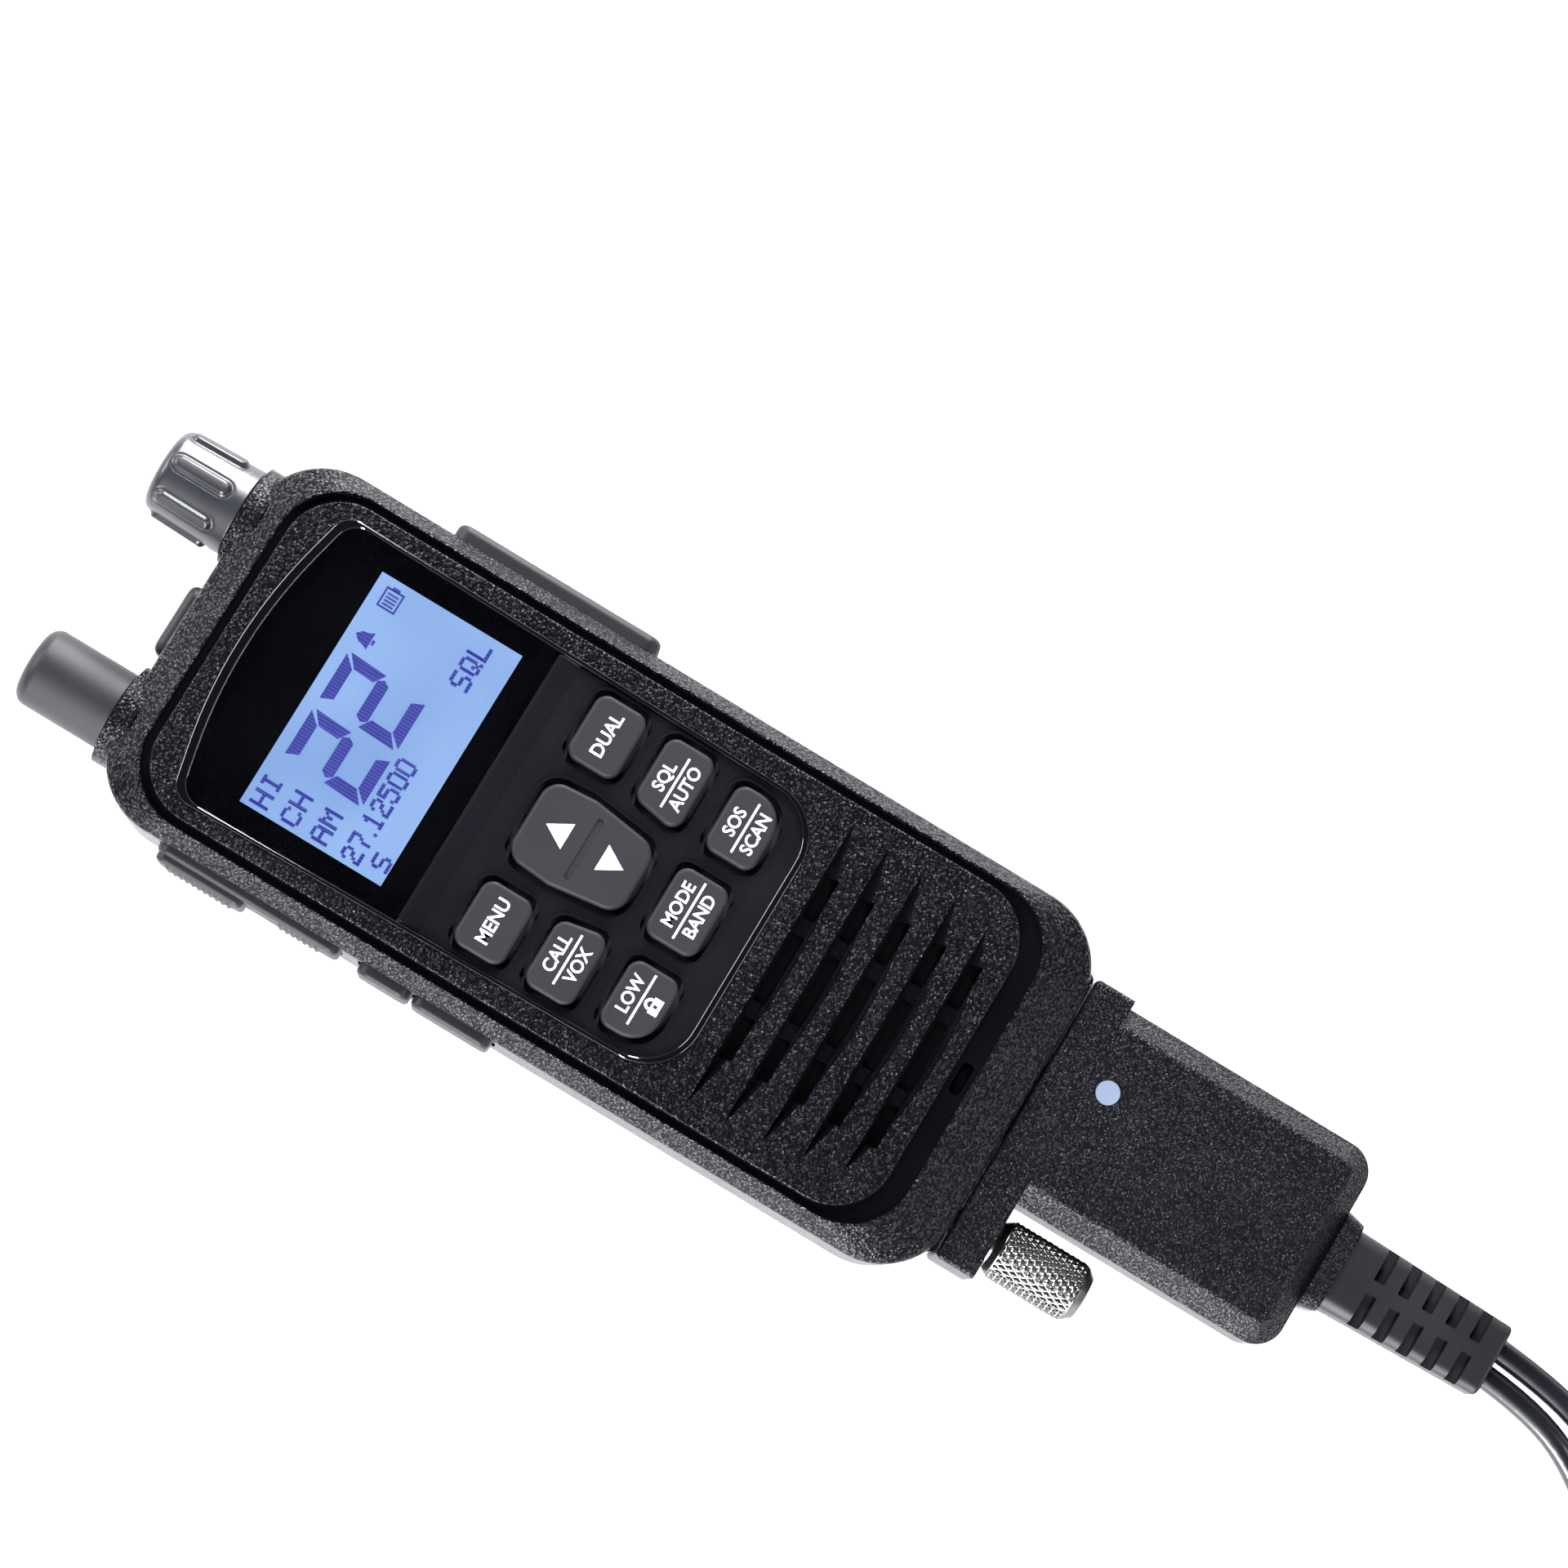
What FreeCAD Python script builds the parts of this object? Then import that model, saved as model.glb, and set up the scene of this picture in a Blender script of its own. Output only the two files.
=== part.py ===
import FreeCAD, Part
import math
import os
import re
import Sketcher
from FreeCAD import Rotation, Vector

# Hand-held two-way radio lying on its back, with a vehicle adapter plugged into its base.
# Design datum: x = 0 on the centre line, y = 0 on the case's bottom edge and +Y towards the
# knobs, z = 0 on the flat back of the battery and +Z out of the face. Millimetres.

SIZES = {
    # radio case
    "case_half": 30, "case_long": 140, "case_corner": 11.5, "back_plane": 15, "parting": 19,
    "shoulder_plane": 33.2, "face_plane": 36.4, "panel_rise": 0.5, "wall": 2, "edge_round": 1.2,
    "slope_round": 0.4, "panel_round": 0.35,
    "under_face": 34, "post_radius": 2.5, "screw_head": 2.2, "screw_shank": 1, "base_half": 23.4,
    "base_low": 16.3, "base_high": 31.2,
    # groove and centre panel on the face
    "groove_half": 27.5, "groove_low": 8, "groove_high": 134.9, "groove_corner": 10,
    "panel_half": 26.2, "panel_low": 11.5, "panel_high": 133.6, "panel_corner": 9,
    "groove_deep": 1.9, "trim_tall": 0.9, "seal_wide": 0.6,
    # glossy bezel round the display and keypad
    "bezel_top_half": 24, "bezel_low_half": 22.6, "bezel_low": 45.2, "bezel_shoulder": 127.5,
    "bezel_peak": 133, "bezel_low_round": 8.5, "bezel_top_round": 3.5, "arch_round": 75,
    "bezel_wide": 0.7, "bezel_seat": 34.9, "bezel_top": 37.3,
    # display and keypad
    "glass_low": 90.8, "glass_top": 36.9, "glass_thick": 1.6,
    "pad_face": 36.2, "key_top": 37.7, "key_foot": 33.4, "key_gap": 0.8, "key_round": 0.6,
    "rocker_groove": 0.3,
    "key_flange": 1.3, "key_flange_thick": 0.9, "rim_wide": 0.5, "rim_tall": 0.25,
    "board_top": 32.4, "board_thick": 1.4, "dome_radius": 2.5, "dome_tall": 0.15,
    "fin_root": 18.6, "fin_tall": 2.6,
    # loudspeaker slots
    "slot_first": 41.8, "slot_pitch": 6.05, "slot_deep": 2.3, "slot_ledge": 1.1, "slot_step": 0.7,
    "speaker_y": 28.5, "speaker_radius": 18,
    # top controls, all on one line across the top
    "top_axis": 27, "knob_x": 17.3, "aerial_x": -17, "collar_radius": 7.9, "collar_rise": 1,
    "knob_radius": 7.15, "knob_low": 141.3, "knob_high": 154.7, "shaft_radius": 3,
    "button_x": -1.2, "cap_radius": 6.15, "cap_low": 141.2, "cap_high": 155.7, "barrel_radius": 4.4,
    # side controls
    "side_low": 21.8, "side_high": 32.2, "side_clear": 0.25, "side_reach": 32.5,
    "side_flange": 0.8, "side_round": 0.7,
    "talk_low": 95.7, "talk_high": 125.8, "talk_step": 111, "talk_reach": 31.3,
    # battery
    "pack_half": 28.5, "pack_low": 1.5, "pack_high": 108, "pack_tall": 14.7, "pack_wall": 1.6,
    # vehicle adapter
    "adapter_axis": 23.75, "adapter_deep": 7.75, "flange_half": 23.4, "flange_top": -0.3,
    "flange_end": -6.7, "adapter_left": -10.7, "adapter_right": 22.3, "adapter_end": -49.4,
    "adapter_head": 1.8, "adapter_bevel": 3.2, "adapter_soft": 1.2,
    "screw_x": -17.1, "screw_radius": 4.375, "screw_low": -22.5, "shank_radius": 2,
    "lens_x": 9.7, "lens_y": -9.9, "lens_radius": 1.85,
    "relief_x": 5.8, "collar_end": -52.4, "relief_end": -78.8, "relief_wide": 12.9,
    "relief_tall": 9.2, "relief_slot": 1.8, "relief_pitch": 4.07,
    # cords
    "cord_radius": 1.9, "coil_radius": 21, "coil_half": 5.8,
    "coil_half_low": 3.9, "plug_radius": 10.4,
}

doc = FreeCAD.newDocument("HandheldRadio")
sheet = doc.addObject("Spreadsheet::Sheet", "Sizes")
for row, (alias, size) in enumerate(SIZES.items(), start=1):
    sheet.set(f"A{row}", alias)
    sheet.set(f"B{row}", str(size))
    sheet.setAlias(f"B{row}", alias)
doc.recompute()

NODES = []
FRAME_SHIFT = "-(<<Sizes>>.cap_high + <<Sizes>>.relief_end) / 2"


def expr(text):
    """The expression with each size name turned into a reference to the sheet."""
    return re.sub(r"(?<![.\w])[a-z][a-z_]+", lambda word: "<<Sizes>>." + word.group(), str(text))


def number(text):
    """The present value of an expression."""
    return float(sheet.evalExpression(expr(text)))


def bind(target, prop, text):
    target.setExpression(prop, expr(text))


def node(target, label, forward="0"):
    """Name a finished sub-part and put its design datum, moved forward, in the frame."""
    target.Label = label
    for path, text in target.ExpressionEngine:
        if path.endswith("Placement.Base.y"):
            forward = text
    target.setExpression("Placement.Base.y", f"{FRAME_SHIFT} + {expr(forward)}")
    NODES.append(target)
    return target


# ---------------------------------------------------------------- sketches and bodies

def new_body(name):
    return doc.addObject("PartDesign::Body", "Body_" + name)


def sketch_on(body, name, role="XY_Plane", offset="0"):
    """A sketch on one of the body's origin planes, moved along the plane's normal."""
    plane = [item for item in body.Origin.OriginFeatures if item.Role == role][0]
    sketch = body.newObject("Sketcher::SketchObject", "Sketch_" + name)
    sketch.AttachmentSupport = [(plane, "")]
    sketch.MapMode = "FlatFace"
    bind(sketch, "AttachmentOffset.Base.z", offset)
    return sketch


def hold_all(sketch, constraints):
    """Add constraints in one go: a dimension is (kind, geometry..., expression)."""
    first = sketch.ConstraintCount
    plain = []
    for words in constraints:
        text = isinstance(words[-1], str)
        plain.append(Sketcher.Constraint(*words[:-1], number(words[-1])) if text
                     else Sketcher.Constraint(*words))
    sketch.addConstraint(plain)
    for index, words in enumerate(constraints, start=first):
        if isinstance(words[-1], str):
            bind(sketch, f"Constraints[{index}]", words[-1])


def at_point(geometry, end, x, y):
    """The two dimensions that place a point from the sketch's origin."""
    return [("DistanceX", -1, 1, geometry, end, x), ("DistanceY", -1, 1, geometry, end, y)]


def rounded_outline(sketch, corners):
    """A closed outline through corners (x, y, radius); each corner is a construction point."""
    places = [Vector(number(x), number(y), 0) for x, y, _ in corners]
    radii = [number(radius) for _, _, radius in corners]
    count = len(corners)
    ends = []
    for i in range(count):
        back = (places[i - 1] - places[i]).normalize()
        ahead = (places[(i + 1) % count] - places[i]).normalize()
        half = back.getAngle(ahead) / 2
        reach = radii[i] / math.tan(half)
        ends.append((places[i] + back * reach, places[i] + ahead * reach, back, ahead, half))
    lines = []
    for i in range(count):
        run = Part.LineSegment(ends[i][1], ends[(i + 1) % count][0])
        lines.append(sketch.addGeometry(run, False))
    constraints = []
    for i in range(count):
        x, y, radius = corners[i]
        before = lines[i - 1]
        after = lines[i]
        if radii[i] == 0:
            constraints.append(("Coincident", before, 2, after, 1))
            constraints += at_point(after, 1, x, y)
            continue
        start, end, back, ahead, half = ends[i]
        centre = places[i] + (back + ahead).normalize() * (radii[i] / math.sin(half))
        circle = Part.Circle(centre, Vector(0, 0, 1), radii[i])
        first = math.atan2(start.y - centre.y, start.x - centre.x)
        last = math.atan2(end.y - centre.y, end.x - centre.x)
        arc_start, arc_end = 1, 2
        if ahead.cross(back).z < 0:
            first, last = last, first
            arc_start, arc_end = 2, 1
        arc = sketch.addGeometry(Part.ArcOfCircle(circle, first, last), False)
        point = sketch.addGeometry(Part.Point(places[i]), True)
        constraints.append(("Tangent", before, 2, arc, arc_start))
        constraints.append(("Tangent", arc, arc_end, after, 1))
        constraints.append(("Radius", arc, radius))
        constraints.append(("PointOnObject", point, 1, before))
        constraints.append(("PointOnObject", point, 1, after))
        constraints += at_point(point, 1, x, y)
    hold_all(sketch, constraints)


def rectangle(left, right, low, high, radius="0"):
    """The four corners of an upright rectangle, counterclockwise."""
    return [(left, low, radius), (right, low, radius), (right, high, radius), (left, high, radius)]


def circle_in(sketch, x, y, radius):
    centre = Vector(number(x), number(y), 0)
    ring = sketch.addGeometry(Part.Circle(centre, Vector(0, 0, 1), number(radius)), False)
    hold_all(sketch, [("Radius", ring, radius)] + at_point(ring, 3, x, y))


def built(body, feature):
    """Recompute, and stop with the feature's name if it failed."""
    doc.recompute()
    if "Invalid" in feature.State or "Error" in feature.State or body.Shape.isNull():
        sketches = [item for item in doc.Objects if "Invalid" in item.State]
        names = [(item.Name, item.getStatusString()) for item in sketches]
        raise RuntimeError(f"{feature.Name} failed: {feature.getStatusString()} {names}")
    return feature


def pad(body, sketch, length, reverse=False, taper=None):
    feature = body.newObject("PartDesign::Pad", "Pad_" + sketch.Name)
    feature.Profile = (sketch, [""])
    bind(feature, "Length", length)
    feature.Reversed = reverse
    if taper:
        feature.TaperAngle = taper
    return built(body, feature)


def pocket(body, sketch, length, reverse=False):
    before = body.Shape.Volume
    feature = body.newObject("PartDesign::Pocket", "Pocket_" + sketch.Name)
    feature.Profile = (sketch, [""])
    bind(feature, "Length", length)
    feature.Reversed = reverse
    built(body, feature)
    if body.Shape.Volume > before - 0.01:
        raise RuntimeError(f"{feature.Name} cuts nothing")
    return feature


def pick_edges(shape, wanted):
    """The names of the edges whose middle point satisfies the test."""
    found = []
    for index, edge in enumerate(shape.Edges, start=1):
        middle = edge.valueAt((edge.FirstParameter + edge.LastParameter) / 2)
        if wanted(edge, middle):
            found.append(f"Edge{index}")
    return found


def flat_at(level, tolerance=0.01):
    """A test for edges that lie in the plane z = level."""
    return lambda edge, middle: (
        abs(edge.BoundBox.ZMin - level) < tolerance and abs(edge.BoundBox.ZMax - level) < tolerance
    )


def dress(body, kind, size, wanted):
    """A fillet or chamfer on the edges of the tip that the test picks."""
    tip = body.Tip
    feature = body.newObject("PartDesign::" + kind, kind + "_" + tip.Name)
    feature.Base = (tip, pick_edges(tip.Shape, wanted))
    bind(feature, "Radius" if kind == "Fillet" else "Size", size)
    return built(body, feature)


def plate(name, corners, low, high):
    """A body made by one pad between two levels."""
    body = new_body(name)
    sketch = sketch_on(body, name, offset=low)
    rounded_outline(sketch, corners)
    pad(body, sketch, f"{high} - ({low})")
    return body


def spun(name, corners):
    """A body turned about the Y axis: corners are (radius, y, rounding)."""
    body = new_body(name)
    sketch = sketch_on(body, name)
    rounded_outline(sketch, corners)
    feature = body.newObject("PartDesign::Revolution", "Turn_" + name)
    feature.Profile = (sketch, [""])
    feature.ReferenceAxis = (sketch, ["V_Axis"])
    feature.Angle = 360
    doc.recompute()
    return body


def stand_at(body, x, z):
    """Move a turned body's axis to x, z."""
    bind(body, "Placement.Base.x", x)
    bind(body, "Placement.Base.z", z)


def block(name, x0, x1, y0, y1, z0, z1):
    box = doc.addObject("Part::Box", name)
    bind(box, "Length", f"({x1}) - ({x0})")
    bind(box, "Width", f"({y1}) - ({y0})")
    bind(box, "Height", f"({z1}) - ({z0})")
    bind(box, "Placement.Base.x", x0)
    bind(box, "Placement.Base.y", y0)
    bind(box, "Placement.Base.z", z0)
    return box


TURN = {"z": Rotation(), "y": Rotation(Vector(1, 0, 0), -90), "x": Rotation(Vector(0, 1, 0), 90)}


def rod(name, axis, x, y, z, radius, length):
    """A cylinder that starts at x, y, z and runs along the positive axis."""
    cylinder = doc.addObject("Part::Cylinder", name)
    bind(cylinder, "Radius", radius)
    bind(cylinder, "Height", length)
    cylinder.Placement.Rotation = TURN[axis]
    bind(cylinder, "Placement.Base.x", x)
    bind(cylinder, "Placement.Base.y", y)
    bind(cylinder, "Placement.Base.z", z)
    return cylinder


def joined(name, pieces):
    fusion = doc.addObject("Part::MultiFuse", name)
    fusion.Shapes = pieces
    return fusion


def less(name, base, tool):
    cut = doc.addObject("Part::Cut", name)
    cut.Base = base
    cut.Tool = tool
    return cut


def group(name, pieces):
    """Separate solids of one node."""
    compound = doc.addObject("Part::Compound", name)
    compound.Links = pieces
    return compound


# ---------------------------------------------------------------- outlines

CASE = rectangle("-case_half", "case_half", "0", "case_long", "case_corner")
CAVITY = rectangle(
    "wall - case_half", "case_half - wall", "wall", "case_long - wall", "case_corner - wall"
)
MOUTH = rectangle("-2.5", "2.5", "8.8", "10.6", "0.6")
BASE = rectangle("-base_half", "base_half", "0", "9", "1.2")
GROOVE = rectangle("-groove_half", "groove_half", "groove_low", "groove_high", "groove_corner")
PANEL = rectangle("-panel_half", "panel_half", "panel_low", "panel_high", "panel_corner")


def bezel_outline(inset, low=None):
    """The arched outline shared by the bezel, the keypad panel and the display window."""
    bottom = low or f"bezel_low + {inset} * 1.6"
    round_low = "1.2" if low else f"bezel_low_round - {inset}"
    side_low = "bezel_low_half + 0.7" if low else "bezel_low_half"
    return [
        (f"{inset} - ( {side_low} )", bottom, round_low),
        (f"{side_low} - {inset}", bottom, round_low),
        (f"bezel_top_half - {inset}", f"bezel_shoulder - {inset} * 2", "bezel_top_round"),
        ("0", f"bezel_peak - {inset} * 2.4", f"arch_round - {inset}"),
        (f"{inset} - bezel_top_half", f"bezel_shoulder - {inset} * 2", "bezel_top_round"),
    ]


# ---------------------------------------------------------------- radio case

SLOT_ROWS = 5


def slot_half(row):
    """Half the length of a loudspeaker slot, which follows the round bottom of the panel."""
    return 23.4 - 0.2 * row * row


def slot_drop(row):
    """Depth of the slot's arc below its straight top edge."""
    return 3.2 + 0.13 * row


def make_front_shell():
    body = plate("front", CASE, "parting", "shoulder_plane")
    low = sketch_on(body, "slope_low", offset="shoulder_plane")
    rounded_outline(low, CASE)
    high = sketch_on(body, "slope_high", offset="face_plane")
    rounded_outline(high, rectangle("-groove_half - 0.2", "groove_half + 0.2", "groove_low - 0.3",
                                    "groove_high + 0.3", "groove_corner + 0.2"))
    slope = body.newObject("PartDesign::AdditiveLoft", "Slope")
    slope.Profile = low
    slope.Sections = [high]
    slope.Ruled = True
    built(body, slope)
    dress(body, "Fillet", "edge_round", flat_at(number("shoulder_plane")))
    dress(body, "Fillet", "slope_round", flat_at(number("face_plane")))
    base_block = sketch_on(body, "base_block", offset="parting")
    rounded_outline(base_block, BASE)
    pad(body, base_block, "base_high - parting")
    raised = sketch_on(body, "raised", offset="face_plane")
    rounded_outline(raised, PANEL)
    pad(body, raised, "panel_rise")
    dress(body, "Fillet", "panel_round", flat_at(number("face_plane + panel_rise")))

    groove = sketch_on(body, "groove", offset="face_plane")
    rounded_outline(groove, GROOVE)
    rounded_outline(groove, PANEL)
    pocket(body, groove, "groove_deep")

    cavity = sketch_on(body, "cavity", offset="parting")
    rounded_outline(cavity, CAVITY)
    pocket(body, cavity, "under_face - parting", reverse=True)

    seat = sketch_on(body, "seat", offset="face_plane + panel_rise")
    rounded_outline(seat, bezel_outline("0"))
    pocket(body, seat, "face_plane + panel_rise - bezel_seat")

    windows = sketch_on(body, "windows", offset="bezel_seat")
    rounded_outline(windows, rectangle("-22.4", "22.4", "49", "86.4", "3"))
    rounded_outline(windows, rectangle("-20.6", "20.6", "93.4", "120.8", "1"))
    pocket(body, windows, "bezel_seat - under_face + 1")

    for name, inset, depth in (("ledges", 0, "slot_ledge"), ("slots", number("slot_step"), "slot_deep")):
        slots = sketch_on(body, name, offset="face_plane + panel_rise")
        for row in range(SLOT_ROWS):
            add_slot(slots, row, inset)
        pocket(body, slots, depth)

    grille = sketch_on(body, "grille", offset="face_plane + panel_rise")
    for left, right in (("-15.2", "-8.2"), ("-5.7", "5.7"), ("8.2", "15.2")):
        top = "slot_first - 0.6"
        rounded_outline(grille, rectangle(left, right, "slot_first - 2.5", top, "0.4"))
    first = pocket(body, grille, "face_plane + panel_rise - under_face + 1")
    rows = body.newObject("PartDesign::LinearPattern", "GrilleRows")
    rows.Originals = [first]
    rows.Direction = (grille, ["V_Axis"])
    rows.Reversed = True
    bind(rows, "Length", f"slot_pitch * {SLOT_ROWS - 1}")
    rows.Occurrences = SLOT_ROWS
    body.Tip = rows
    doc.recompute()

    mouth = sketch_on(body, "mouth", offset="face_plane")
    rounded_outline(mouth, MOUTH)
    pocket(body, mouth, "face_plane - under_face + 1")

    posts = sketch_on(body, "posts", offset="parting")
    for x, y in SCREW_PLACES:
        circle_in(posts, x, y, "post_radius")
    pad(body, posts, "under_face - parting + 0.2")
    pilots = sketch_on(body, "pilots", offset="parting")
    for x, y in SCREW_PLACES:
        circle_in(pilots, x, y, "screw_shank + 0.05")
    pocket(body, pilots, "10", reverse=True)

    collars = sketch_on(body, "collars", "XZ_Plane", "-(case_long - wall)")
    circle_in(collars, "aerial_x", "top_axis", "collar_radius")
    circle_in(collars, "knob_x", "top_axis", "collar_radius")
    pad(body, collars, "wall + collar_rise", reverse=True)
    holes = sketch_on(body, "holes", "XZ_Plane", "-(case_long + collar_rise)")
    circle_in(holes, "aerial_x", "top_axis", "5")
    circle_in(holes, "knob_x", "top_axis", "3.6")
    rounded_outline(holes, rectangle("button_x - 6.1", "button_x + 6.1", "23.1", "30.9", "2"))
    pocket(body, holes, "5", reverse=True)

    insert_boss = sketch_on(body, "insert_boss", "XZ_Plane", "-wall")
    circle_in(insert_boss, "screw_x", "adapter_axis", "4.4")
    pad(body, insert_boss, "7", reverse=True)
    base = sketch_on(body, "base_holes", "XZ_Plane", "0")
    circle_in(base, "screw_x", "adapter_axis", "3")
    rounded_outline(base, rectangle("-4.3", "9.3", "20.2", "27.3", "1"))
    pocket(body, base, "10")

    left = sketch_on(body, "left_holes", "YZ_Plane", "-case_half")
    clear = "side_clear"
    for low, high in (("talk_low", "talk_high"), ("69.9", "92.5")):
        frame = rectangle(
            f"{low} - {clear}", f"{high} + {clear}", f"side_low - {clear}", f"side_high + {clear}", "2"
        )
        rounded_outline(left, frame)
    pocket(body, left, "3", reverse=True)
    right = sketch_on(body, "right_holes", "YZ_Plane", "case_half")
    rounded_outline(right, rectangle("82.5", "90.5", "23.5", "31.5", "1"))
    rounded_outline(right, rectangle("100.5", "108.5", "23.5", "31.5", "1"))
    pocket(body, right, "3")
    return node(body, "front_shell")


def add_slot(sketch, row, inset):
    """One loudspeaker slot: a straight top edge and an arc below it."""
    half = slot_half(row) - inset * 2
    drop = slot_drop(row) - inset
    top = f"slot_first - slot_pitch * {row}"
    bulge = (half * half + drop * drop) / (2 * drop)
    high = number(top)
    centre = Vector(0, high - drop + bulge, 0)
    reach = math.asin(half / bulge)
    start = 1.5 * math.pi - reach
    circle = Part.Circle(centre, Vector(0, 0, 1), bulge)
    arc = sketch.addGeometry(Part.ArcOfCircle(circle, start, start + 2 * reach), False)
    line = sketch.addGeometry(Part.LineSegment(Vector(half, high, 0), Vector(-half, high, 0)), False)
    hold_all(sketch, [
        ("Coincident", arc, 2, line, 1),
        ("Coincident", line, 2, arc, 1),
        ("Radius", arc, str(bulge)),
    ] + at_point(line, 1, str(half), top) + at_point(line, 2, str(-half), top))


# case screws: x, y
SCREW_PLACES = [("-24.8", "10.5"), ("24.8", "10.5"), ("-24.8", "129.5"), ("24.8", "129.5")]


def make_rear_shell():
    body = plate("rear", CASE, "back_plane", "parting")
    dress(body, "Fillet", "1.2", flat_at(number("back_plane")))
    base_block = sketch_on(body, "rear_base", offset="base_low")
    rounded_outline(base_block, BASE)
    pad(body, base_block, "parting - base_low")
    tray = sketch_on(body, "tray", offset="parting")
    rounded_outline(tray, CAVITY)
    pocket(body, tray, "parting - back_plane - wall")
    shoulder = sketch_on(body, "shoulder", offset="1")
    rounded_outline(shoulder, rectangle("-26", "26", "109", "138", "6"))
    pad(body, shoulder, "back_plane - 0.5")
    dress(body, "Fillet", "1.5", flat_at(1))
    latch = sketch_on(body, "latch_bay", offset="1")
    rounded_outline(latch, rectangle("-8.3", "8.3", "108.5", "119.5", "0.5"))
    pocket(body, latch, "4", reverse=True)
    clip = sketch_on(body, "clip_holes", offset="1")
    circle_in(clip, "-10", "128", "1.25")
    circle_in(clip, "10", "128", "1.25")
    pocket(body, clip, "8", reverse=True)
    heads = sketch_on(body, "head_holes", offset="back_plane")
    for x, y in SCREW_PLACES[:2]:
        circle_in(heads, x, y, "screw_head + 0.2")
    pocket(body, heads, "0.9", reverse=True)
    deep = sketch_on(body, "deep_heads", offset="1")
    for x, y in SCREW_PLACES[2:]:
        circle_in(deep, x, y, "screw_head + 0.2")
    pocket(body, deep, "14.9", reverse=True)
    shafts = sketch_on(body, "shaft_holes", offset="1")
    for x, y in SCREW_PLACES:
        circle_in(shafts, x, y, "screw_shank + 0.3")
    pocket(body, shafts, "17", reverse=True)
    return node(body, "rear_shell")


def make_ring(name, outer, inner, low, high):
    """A flat ring between two outlines."""
    body = new_body(name)
    sketch = sketch_on(body, name, offset=low)
    rounded_outline(sketch, outer)
    rounded_outline(sketch, inner)
    pad(body, sketch, f"{high} - ({low})")
    return body


def make_trims():
    trim = make_ring("trim", GROOVE, PANEL, "face_plane - groove_deep",
                     "face_plane - groove_deep + trim_tall")
    mouth = sketch_on(trim, "trim_mouth", offset="face_plane")
    rounded_outline(mouth, MOUTH)
    pocket(trim, mouth, "groove_deep + 1")
    node(trim, "trim_ring")

    bezel = make_ring("bezel", bezel_outline("0"), bezel_outline("bezel_wide"), "bezel_seat",
                      "bezel_top")
    dress(bezel, "Fillet", "bezel_wide * 0.45", flat_at(number("bezel_top")))
    node(bezel, "bezel_ring")

    inner = rectangle("wall + seal_wide - case_half", "case_half - wall - seal_wide",
                      "wall + seal_wide", "case_long - wall - seal_wide",
                      "case_corner - wall - seal_wide")
    node(make_ring("gasket", CAVITY, inner, "parting - 1", "parting + 0.3"), "case_gasket")


def make_window():
    body = plate("window", bezel_outline("bezel_wide", low="glass_low"),
                 "glass_top - glass_thick", "glass_top")
    node(body, "display_window")


# Keys: name, outline corners (x, y, radius); the right-hand keys mirror the left-hand ones.
LEFT_KEYS = {
    "upper": [("-21", "74.5", "2"), ("-10.4", "74.5", "2"), ("-10.4", "82.8", "2"),
              ("-21", "82.8", "2")],
    "middle": [("-20.8", "63", "2"), ("-8.8", "63", "2"), ("-10.3", "71", "2"),
               ("-20.8", "71", "2")],
    "lower": [("-20.1", "50.8", "4.6"), ("-9.3", "50.8", "2"), ("-9.3", "59", "2"),
              ("-20.1", "59", "2")],
}
ROCKER = [("-5.5", "63.9", "3.2"), ("5.5", "63.9", "3.2"), ("7", "75", "3"), ("6.4", "82.5", "3"),
          ("-6.4", "82.5", "3"), ("-7", "75", "3")]
BAND = [("-5.7", "51.5", "2"), ("5.7", "51.5", "2"), ("5.7", "60", "2"), ("-5.7", "60", "2")]


def mirrored(corners):
    """The outline on the other side of the centre line, still counterclockwise."""
    flipped = [(x[1:] if x.startswith("-") else "-" + x, y, radius) for x, y, radius in corners]
    return flipped[::-1]


KEYS = {
    "key_function": LEFT_KEYS["upper"],
    "key_watch": mirrored(LEFT_KEYS["upper"]),
    "key_voice": LEFT_KEYS["middle"],
    "key_squelch": mirrored(LEFT_KEYS["middle"]),
    "key_lock": LEFT_KEYS["lower"],
    "key_alert": mirrored(LEFT_KEYS["lower"]),
    "key_band": BAND,
    "key_up_down": ROCKER,
}


def grown(corners, by):
    """A key outline moved outwards: each corner goes away from the outline's middle."""
    middle_x = sum(number(x) for x, _, _ in corners) / len(corners)
    middle_y = sum(number(y) for _, y, _ in corners) / len(corners)
    bigger = []
    for x, y, radius in corners:
        side = "+" if number(x) > middle_x else "-"
        level = "+" if number(y) > middle_y else "-"
        bigger.append((f"{x} {side} {by}", f"{y} {level} {by}", f"{radius} + {by} * 0.6"))
    return bigger


def make_keypad_panel():
    body = plate("panel", bezel_outline("bezel_wide")[:2] + [
        ("bezel_low_half + 0.55 - bezel_wide", "glass_low - 0.05", "0"),
        ("bezel_wide - 0.55 - bezel_low_half", "glass_low - 0.05", "0"),
    ], "bezel_seat", "pad_face")
    for label, outline in KEYS.items():
        rim = sketch_on(body, "rim_" + label, offset="pad_face")
        rounded_outline(rim, grown(outline, "key_gap + rim_wide"))
        pad(body, rim, "rim_tall")
    for label, outline in KEYS.items():
        hole = sketch_on(body, "hole_" + label, offset="pad_face + rim_tall")
        rounded_outline(hole, grown(outline, "key_gap"))
        pocket(body, hole, "3")
    node(body, "keypad_panel")


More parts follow.
